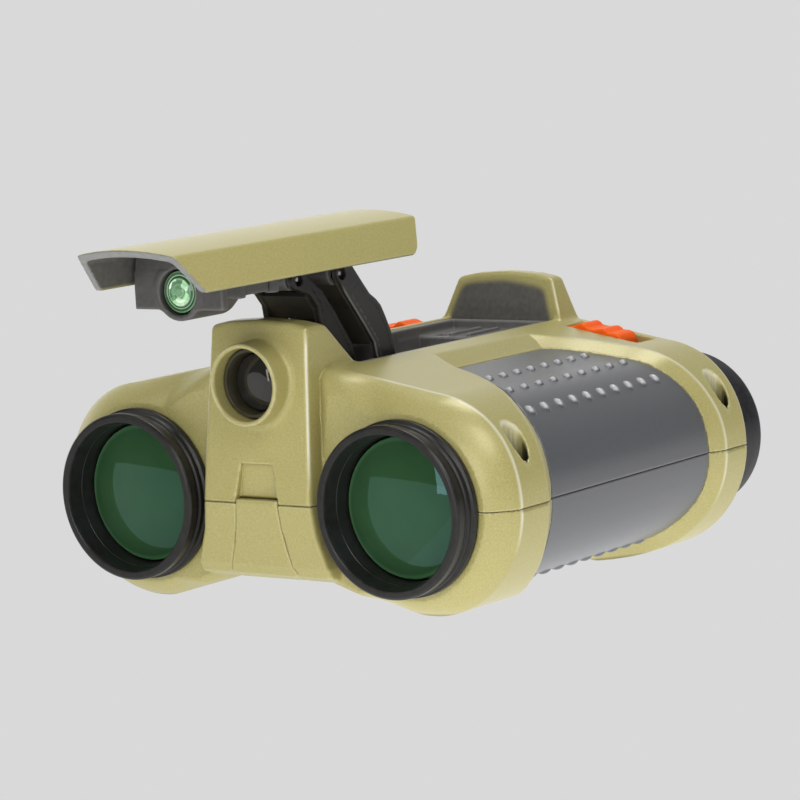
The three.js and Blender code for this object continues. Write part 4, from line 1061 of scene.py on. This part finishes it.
# dark olive rather than black: painted shade standing in for the gold bezel wall in shade
M_TUBE = plastic("nose_tube_plastic", (0.040, 0.036, 0.019), (0.052, 0.047, 0.026), 0.30, 0.42, 600, 0.08, 0.00003, None, 0.45)
M_BLACK = plastic("black_plastic", (0.0100, 0.0094, 0.0088), (0.0180, 0.0170, 0.0160), 0.28, 0.40, 600, 0.08, 0.00003, None, 0.42)
M_SOFT = plastic("soft_black", (0.014, 0.014, 0.016), (0.025, 0.025, 0.029), 0.34, 0.48, 800, 0.2, 0.00005, None, 0.5)
# the paler green ring near the lens edge is a painted reflection of the inner rim
M_LENS = glass("green_glass", (0.024, 0.068, 0.026), (0.028, 0.076, 0.030), 0.02, (0.060, 0.165, 0.068), (13.7, 14.6), 0.0, (0.45, 0.88, 1.0))
M_CLEAR = glass("clear_glass", (0.010, 0.011, 0.012), (0.014, 0.015, 0.016), 0.02)
M_NOSE = glass("nose_glass", (0.018, 0.017, 0.015), (0.026, 0.025, 0.022), 0.03, None, None, 0.0, None, 0.7)
M_ORANGE = plastic("orange", (0.93, 0.108, 0.006), (1.0, 0.148, 0.011), 0.44, 0.54, 900, 0.12, 0.00004, (1.0, 0.165, 0.016), 0.15)
M_STEEL = metal("steel", (0.50, 0.50, 0.52), (0.64, 0.64, 0.66), 0.24, 0.36)
M_PIN = metal("dull_pin", (0.34, 0.34, 0.35), (0.46, 0.46, 0.47), 0.22, 0.34)
M_MIRROR = metal("mirror_cup", (0.45, 0.78, 0.48), (0.62, 0.92, 0.62), 0.06, 0.12, 300)
M_LAMP = lamp_glass("lamp_green")
M_LED = glass("led_clear", (0.75, 0.95, 0.75), (0.85, 1.0, 0.85), 0.05)


# ------------------------------------------------------------------ pieces
def hump_bare(p, N):
    x, y, z = p
    w = np.interp(z, [28, 36.8], [16.2, 12.95])
    zt = np.interp(np.abs(x), [0, 3.0, 8.3, 12.95], [38.2, 38.1, 37.7, 36.85])
    d = smin(w - np.abs(x), zt - z, 1.5)
    m = np.clip((d - np.where(x > 0, 1.1 + 0.9 * np.clip(x / 12.0, 0, 1), 1.1)) / 1.7, 0, 1)
    m = m * m * (3 - 2 * m)
    m = m * ((y > 92.5) & (y < 97.0) & (z > 24.0) & (N[:, 1] < -0.4))
    return m


def hollow_shade(p, N):
    """Painted shade, near black, down the screw wells."""
    x, y, z = p
    ax = np.abs(x)
    well = np.minimum(np.hypot(ax - WELL_X, y - WELL_Y[0]), np.hypot(ax - WELL_X, y - WELL_Y[1]))
    t = np.clip((14.3 - z) / 3.6, 0, 1) * np.clip((-outer(x, y, z, False) - 0.2) / 0.5, 0, 1) * (well < WELL_R + 0.3)
    return t * t * (3 - 2 * t)


def well_mouth_highlight(p, N):
    """Painted highlight on the inner side of the well mouths."""
    x, y, z = p
    ax = np.abs(x)
    d = look(SD, x, z)
    q = np.minimum(np.hypot(ax - WELL_X, y - WELL_Y[0]), np.hypot(ax - WELL_X, y - WELL_Y[1])) - 2.5
    t = np.clip((0.75 - np.abs(q)) / 0.4, 0, 1) * np.clip((WELL_X - 0.1 - ax) / 1.2, 0, 1) * np.clip((d + 1.35) / 1.0, 0, 1) * np.clip((-0.06 - d) / 0.25, 0, 1)
    return 0.7 * t * (z > 5.0)


def creases(p):
    """Signed distance to the nearest crease and the strength of the painted highlight line along it: front cap, rear
    edge of the recess, front edges of the nose.
    """
    x, y, z = p
    ax = np.abs(x)
    d = look(SD, x, z)
    s = look(SA, x, z)
    face = np.clip((d + 1.6) / 0.8, 0, 1) * np.clip((ax - 20.0) / 8.0, 0, 1)
    rows = [(y - 11.25, 0.62 * face * np.clip((z + 10.0) / 8.0, 0, 1))]
    rows.append((y - grip_edges(s)[1] - 0.1, 0.5 * face * np.clip((s - S_TOP1) / 3.0, 0, 1) * np.clip((z + 14.0) / 9.0, 0, 1)))
    w = np.interp(z, NZ, NW)
    yf = np.interp(z, NZ, NF)
    near = np.clip(2.0 - np.hypot(ax - w, y - yf), 0, 1)
    rows.append(((ax - w) + (y - yf), 0.85 * near * np.clip((z - 3.0) / 8.0, 0, 1) * np.clip((36.0 - z) / 3.0, 0, 1)))
    w = np.interp(z, [24, 28, 36.8, 39], [16.4, 16.2, 12.95, 12.15])
    yf = np.interp(z, [24, 28, 36.8, 39], [HUMP_Y0, HUMP_Y0, 95.6, 96.15])
    near = np.clip(2.0 - np.hypot(ax - w, y - yf), 0, 1)
    rows.append(((ax - w) + (y - yf), 0.4 * near * np.clip((z - 28.5) / 1.5, 0, 1) * np.clip((37.0 - z) / 1.5, 0, 1)))
    line, mask = np.full(y.shape, 9.0), np.zeros(y.shape)
    for t, m in rows:
        t = np.where(m > 0.01, t, 9.0)
        k = np.abs(t) < np.abs(line)
        line, mask = np.where(k, t, line), np.where(k, m, mask)
    return line, mask


def shade(p, N):
    """Painted shade low down on the sides of the nose, beside the barrels."""
    x, y, z = p
    side = np.clip(1.0 - np.abs(np.abs(x) - np.interp(z, NZ, NW)) / 1.2, 0, 1) * np.clip((np.abs(N[:, 0]) - 0.5) / 0.3, 0, 1)
    return 0.62 * side * np.clip((y - 1.6) / 4.0, 0, 1) * np.clip((23.0 - z) / 13.0, 0, 1) * np.clip((z + 15.0) / 3.0, 0, 1)


def lid_rim(p, N):
    return np.clip((rake(p[1], p[2]) + 0.35) / 0.3, 0, 1) * np.clip(-N[:, 1] * 1.6, 0, 1)


def lid_bare(p, N):
    x, y, z = p
    out = lid_out(x, y, z)
    m = np.clip((-out - 0.12) / 0.35, 0, 1)
    front = lid_rim(p, N)
    low = np.clip((LID_Z0 + 0.2 - z) / 0.3, 0, 1) * (N[:, 2] < -0.5)
    return np.clip(np.maximum(np.maximum(m, front), low), 0, 1)


hidden = lambda p: (outer(*p) < -1.3).astype(float)
sculpt("upper_shell_skin", "upper_shell", f_upper, (-60, -3, 0), (60, 101, 39), 0.55, M_GOLD_BARE, {"bare": hump_bare, "hollow_shade": hollow_shade, "well_mouth_highlight": well_mouth_highlight, "shade": shade, "line": lambda p, N: creases(p)[0], "highlight_strength": lambda p, N: creases(p)[1]}, hidden)
sculpt("lower_shell_skin", "lower_shell", f_lower, (-60, -1, -25), (60, 101, 0), 0.55, M_GOLD, {"shade": shade, "line": lambda p, N: creases(p)[0], "highlight_strength": lambda p, N: creases(p)[1]}, hidden)
sculpt("battery_door_skin", "battery_door", f_door, (-10, -1, -17), (10, 34, 1.2), 0.4, M_GOLD)
for side, sgn in (("right", 1), ("left", -1)):
    lo, hi = (24, 20, 0) if sgn > 0 else (-60, 20, 0), (60, 92, 26) if sgn > 0 else (-24, 92, 26)
    sculpt("grip_upper_skin_" + side, "grip_upper_" + side, (lambda p: np.where(p[0] * sgn > 0, f_grip(p, False), 5.0)), lo, hi, 0.3, M_GRIP, {"bump_highlight": lambda p, N: bump_highlight(p, N, False)})
    lo, hi = (33.5, 20, -23.5) if sgn > 0 else (-60, 20, -23.5), (60, 92, 0) if sgn > 0 else (-33.5, 92, 0)
    sculpt("grip_lower_skin_" + side, "grip_lower_" + side, (lambda p: np.where(p[0] * sgn > 0, f_grip(p, True), 5.0)), lo, hi, 0.36, M_GRIP, {"bump_highlight": lambda p, N: bump_highlight(p, N, True)})
# the tray's front well is darkened: painted shade
sculpt("tray_skin", "tray", f_tray, (-14, 17, 13), (14, 93.2, 28), 0.45, M_TRAY, {"hollow_shade": lambda p, N: np.clip((64.0 - p[1]) / 8.0, 0, 1) * np.clip((27.0 - p[2]) / 1.5, 0, 1)})
# painted shading tone on the inner faces and web between the front link's arms
sculpt("front_link_skin", "front_link", f_front_link, (-8, 4, 17), (8, 34, 50), 0.3, M_LINK_FRONT, {"hollow_shade": lambda p, N: np.clip((6.8 - np.abs(p[0])) / 0.4, 0, 1)})
sculpt("rear_link_skin", "rear_link", f_rear_link, (-10, 16, 17), (10, 47, 50), 0.3, M_LINK, {
    # painted shading tone on the inner faces and web between the rear link's arms
    "hollow_shade": lambda p, N: np.clip((9.0 - np.abs(p[0])) / 0.4, 0, 1),
    # painted highlight line along the front edge of the rear link's arms
    "line": lambda p, N: arm_edge(p, REAR_ARM, TRAY_REAR, 9.8)[0], "highlight_strength": lambda p, N: arm_edge(p, REAR_ARM, TRAY_REAR, 9.8)[1]})
sculpt("lid_cover_skin", "lid_cover", f_lid, (-15, -39, 47.5), (15, 46.0, 58), 0.42, M_GOLD_LID, {"bare": lid_bare, "rim": lid_rim})
sculpt("lid_frame_skin", "lid_frame", f_frame, (-12, -21.2, 40.5), (12, 41.2, 54.2), 0.38, M_DARK)
sculpt("release_slider_skin", "release_slider", (lambda p: f_slider(p, 1, 0.0)), (17, 88.8, 18.5), (36.5, 98.3, 28.6), 0.22, M_ORANGE)
sculpt("lamp_switch_skin", "lamp_switch_slider", (lambda p: f_slider(p, -1, SLIDE_TRAVEL)), (-40, 88.8, 17.5), (-20.5, 98.3, 28), 0.22, M_ORANGE)
for side, sgn in (("right", 1), ("left", -1)):
    for place, wy in zip(("front", "rear"), WELL_Y):
        sx = sgn * WELL_X
        sculpt(f"screw_{place}_{side}", f"shell_screw_{place}_{side}", (lambda p: f_screw(p, sx, wy)), (sx - 2.4, wy - 2.4, -8.1), (sx + 2.4, wy + 2.4, 6.0), 0.2, M_STEEL)
    sculpt("contact_plate_" + side, "battery_contact_" + side, (lambda p: f_contact(p, sgn)), (8.7 if sgn > 0 else -9.7, 6.5, -12.7), (9.7 if sgn > 0 else -8.7, 17.5, -2.1), 0.2, M_STEEL)
    X = sgn * BARREL_X
    lathe("objective_ring_turned_" + side, "objective_ring_" + side, [
        (15.2, 10.0), (16.1, 10.0), (16.1, 5.1), (18.5, 5.1), (18.5, 3.9), (17.75, 3.55), (17.75, 2.9), (18.0, 2.75), (18.0, 2.3), (17.5, 2.1), (17.5, 1.3),
        (18.0, 0.9), (18.0, -0.85), (17.5, -1.3), (16.25, -1.3), (15.95, -0.7), (15.62, 2.6), (15.48, 2.75), (15.2, 6.2)], X, 0, M_BLACK, 128, 0.22)
    lathe("objective_lens_turned_" + side, "objective_lens_" + side, [(0, 4.0), (3, 4.06), (6, 4.25), (9, 4.58), (12, 5.08), (14.9, 5.8), (14.9, 7.0), (0, 7.0)], X, 0, M_LENS, 128, 1.4)
    lathe("barrel_tube_turned_" + side, "barrel_tube_" + side, [(14.8, 10.4), (16.1, 10.4), (16.1, 97.9), (12.4, 97.9), (12.4, 96.6), (14.8, 96.6)], X, 0, M_BLACK, 96, 0.2)
    lathe("eyecup_turned_" + side, "eyecup_" + side, [
        (12.6, 98.3), (14.0, 98.3), (14.0, 101.0), (16.6, 101.0), (16.7, 103.6), (16.4, 103.9), (16.4, 104.6), (16.7, 104.9), (16.8, 109.0), (17.3, 112.6), (17.95, 115.6),
        (18.15, 117.6), (17.5, 118.6), (16.6, 118.2), (15.6, 113.0), (13.6, 107.0), (12.6, 106.4)], X, 0, M_SOFT, 112, 0.5)
    lathe("eyepiece_lens_turned_" + side, "eyepiece_lens_" + side, [(0, 101.2), (7, 101.6), (12.3, 102.6), (12.3, 104.2), (7, 105.3), (3, 105.7), (0, 105.8)], X, 0, M_CLEAR, 96, 1.0)
lathe("nose_tube_turned", "nose_tube", [(6.0, 9.4), (7.3, 9.4), (7.3, 0.9), (6.6, 0.9), (6.4, 2.0), (6.4, 5.0), (6.0, 5.2)], 0, BEZEL_Z, M_TUBE, 96, 0.15)
lathe("nose_lens_turned", "nose_lens", [(0, 2.5), (3, 2.7), (6.1, 3.6), (6.1, 4.7), (0, 4.7)], 0, BEZEL_Z, M_NOSE, 96, 0.8)
lathe("lamp_reflector_turned", "lamp_reflector", [(1.8, -10.4), (2.6, -10.4), (4.4, -13.5), (4.4, -18.6), (4.1, -18.6), (3.6, -15.6), (2.7, -13.0), (1.8, -11.6)], 0, LAMP_Z, M_MIRROR, 64, 0.1)
lathe("lamp_lens_turned", "lamp_lens", [(0, -20.6), (0.8, -20.6), (1.2, -20.35), (1.7, -20.55), (2.2, -20.25), (2.8, -20.45), (3.3, -20.15), (3.9, -20.25), (4.4, -20.0), (4.4, -18.9), (2.4, -18.95), (0, -19.0)], 0, LAMP_Z, M_LAMP, 80, 0.12)
lathe("lamp_led_turned", "lamp_led", [(0, -15.6), (0.75, -15.3), (1.25, -14.6), (1.45, -13.6), (1.45, -8.6), (1.6, -8.4), (1.6, -8.0), (0, -8.0)], 0, LAMP_Z, M_LED, 48, 0.15)
for name, node, q, half in (("tray_pin_front_turned", "tray_pin_front", TRAY_FRONT, 13.4), ("lid_pin_front_turned", "lid_pin_front", LID_FRONT, 7.0), ("lid_pin_rear_turned", "lid_pin_rear", LID_REAR, 9.1)):
    lathe(name, node, [(0, -half), (0.5, -half), (0.55, -half + 0.7), (PIN_R, -half + 0.8), (PIN_R, half - 0.8), (0.55, half - 0.7), (0.5, half), (0, half)], q[0], q[1], M_PIN, 40, 0.1, axis="x")
for side, a, b in (("right", 8.0, 13.4), ("left", -13.4, -8.0)):
    lathe("tray_pin_rear_turned_" + side, "tray_pin_rear_" + side, [(0, a), (PIN_R - 0.2, a), (PIN_R, a + 0.2), (PIN_R, b - 0.2), (PIN_R - 0.2, b), (0, b)], TRAY_REAR[0], TRAY_REAR[1], M_PIN, 40, 0.1, axis="x")
for name, i in (("right", 1), ("middle", 0), ("left", -1)):
    c = 5.7 * i
    lathe("battery_cell_turned_" + name, "battery_cell_" + name, [(0, c - 2.7), (4.6, c - 2.7), (4.8, c - 2.4), (5.1, c - 2.4), (5.8, c - 2.1), (5.8, c + 2.7), (0, c + 2.7)], 12.0, -7.6, M_STEEL, 72, 0.25, axis="x")

# ------------------------------------------------------------------ stage, light and camera
scene = bpy.context.scene
scene.view_settings.view_transform = "Standard"
me = bpy.data.meshes.new("bounce_sheet")
me.from_pydata([(-6, -0.46, -0.0005), (-0.2, -0.45, -0.0005), (-0.04, -0.295, -0.0005), (0.02, -0.265, -0.0005), (0.06, -0.6, -0.0005), (6, -0.6, -0.0005), (6, 6, -0.0005), (-6, 6, -0.0005)], [], [(0, 1, 2, 3, 4, 5, 6, 7)])
sheet = bpy.data.objects.new("bounce_sheet", me)
scene.collection.objects.link(sheet)
sheet.visible_camera = False
fm = bpy.data.materials.new("pale_floor")
fm.use_nodes = True
nt = fm.node_tree
nt.nodes.clear()
em = nt.nodes.new("ShaderNodeEmission")
em.inputs["Color"].default_value = (0.694, 0.694, 0.694, 1)
nt.links.new(em.outputs[0], nt.nodes.new("ShaderNodeOutputMaterial").inputs["Surface"])
me.materials.append(fm)
# the floor lies lower than the sheet, clear of the opened battery door
me = bpy.data.meshes.new("floor")
me.from_pydata([(-6, -6, -0.036), (6, -6, -0.036), (6, 6, -0.036), (-6, 6, -0.036)], [], [(0, 1, 2, 3)])
me.materials.append(fm)
floor = bpy.data.objects.new("floor", me)
scene.collection.objects.link(floor)

world = bpy.data.worlds.new("studio")
scene.world = world
world.use_nodes = True
nt = world.node_tree
nt.nodes.clear()
geo = nt.nodes.new("ShaderNodeTexCoord")
sep = nt.nodes.new("ShaderNodeSeparateXYZ")
nt.links.new(geo.outputs["Generated"], sep.inputs[0])
along = nt.nodes.new("ShaderNodeVectorMath")
along.operation = "DOT_PRODUCT"
along.inputs[1].default_value = (-0.593, 0.805, 0.0)
nt.links.new(geo.outputs["Generated"], along.inputs[0])
room = ramp(nt, span(nt, sep.outputs["Z"], -1, 1, 0, 1), [(0.0, (0.45, 0.45, 0.45)), (0.40, (0.30, 0.30, 0.30)), (0.465, (0.03, 0.03, 0.03)), (0.53, (0.03, 0.03, 0.031)), (0.72, (0.05, 0.05, 0.052)), (0.9, (0.28, 0.28, 0.28))])
drop = ramp(nt, span(nt, sep.outputs["Z"], -1, 1, 0, 1), [(0.0, (0.69, 0.69, 0.69)), (0.495, (0.9, 0.9, 0.9)), (0.53, (1.35, 1.35, 1.35)), (0.58, (1.3, 1.3, 1.3)), (0.65, (0.95, 0.95, 0.95)), (0.71, (0.9, 0.9, 0.9)), (0.80, (0.3, 0.3, 0.3))])
sky = mix(nt, span(nt, along.outputs["Value"], 0.4, 0.75, 0.0, 1.0), room, drop)
lp = nt.nodes.new("ShaderNodeLightPath")
back = mix(nt, lp.outputs["Is Camera Ray"], sky, (0.694, 0.694, 0.694))
bg = nt.nodes.new("ShaderNodeBackground")
nt.links.new(back, bg.inputs["Color"])
nt.links.new(bg.outputs[0], nt.nodes.new("ShaderNodeOutputWorld").inputs["Surface"])


def softbox(name, place, aim, size, power, shine=True):
    d = bpy.data.lights.new(name, "AREA")
    d.shape = "RECTANGLE"
    d.size, d.size_y = size
    d.energy = power
    o = bpy.data.objects.new(name, d)
    scene.collection.objects.link(o)
    z = np.array(place, float) - np.array(aim, float)
    z /= np.linalg.norm(z)
    x = np.cross((0, 1, 0.001) if abs(z[2]) > 0.95 else (0, 0, 1), z)
    x /= np.linalg.norm(x)
    y = np.cross(z, x)
    o.visible_camera = False
    o.visible_glossy = shine
    o.matrix_world = Matrix([(x[0], y[0], z[0], place[0]), (x[1], y[1], z[1], place[1]), (x[2], y[2], z[2], place[2]), (0, 0, 0, 1)])
    return o


softbox("top", (-0.05, 0.24, 1.0), (0, 0, 0.03), (0.40, 0.40), 4.1)
softbox("key", (0.60, -0.54, 0.84), (0, 0, 0.03), (0.5, 0.5), 4.3)
softbox("side", (-0.7, -0.9, 0.9), (0, 0, 0.03), (0.5, 0.5), 1.3)
softbox("front", (0.30, -1.10, 0.34), (0, 0, 0.03), (0.7, 0.55), 4.1)
softbox("strip", (-0.27, -1.05, 0.08), (0, 0, 0.03), (0.10, 0.46), 0.5)
softbox("table_right", (0.13, -0.04, 0.0008), (0.13, -0.04, 1.0), (0.22, 0.34), 0.07)
softbox("table", (0, 0, 0.0004), (0, 0, 1.0), (1.4, 1.4), 3.8, False)

RIGHT, UP, FWD = (0.808499, 0.585844, -0.055825), (-0.032048, 0.13855, 0.989837), (-0.587624, 0.798493, -0.130793)
EYE = (np.array([474.630442, -592.213313, 120.251757]) + SHIFT) / 1000.0
cam = bpy.data.cameras.new("camera")
cam.sensor_fit = "HORIZONTAL"
cam.sensor_width = 36.0
cam.lens = 3679.3668 * 36.0 / 800.0
cam.clip_start, cam.clip_end = 0.01, 50.0
co = bpy.data.objects.new("camera", cam)
scene.collection.objects.link(co)
co.matrix_world = Matrix([(RIGHT[i], UP[i], -FWD[i], EYE[i]) for i in range(3)] + [(0, 0, 0, 1)])
scene.camera = co

bpy.context.view_layer.update()
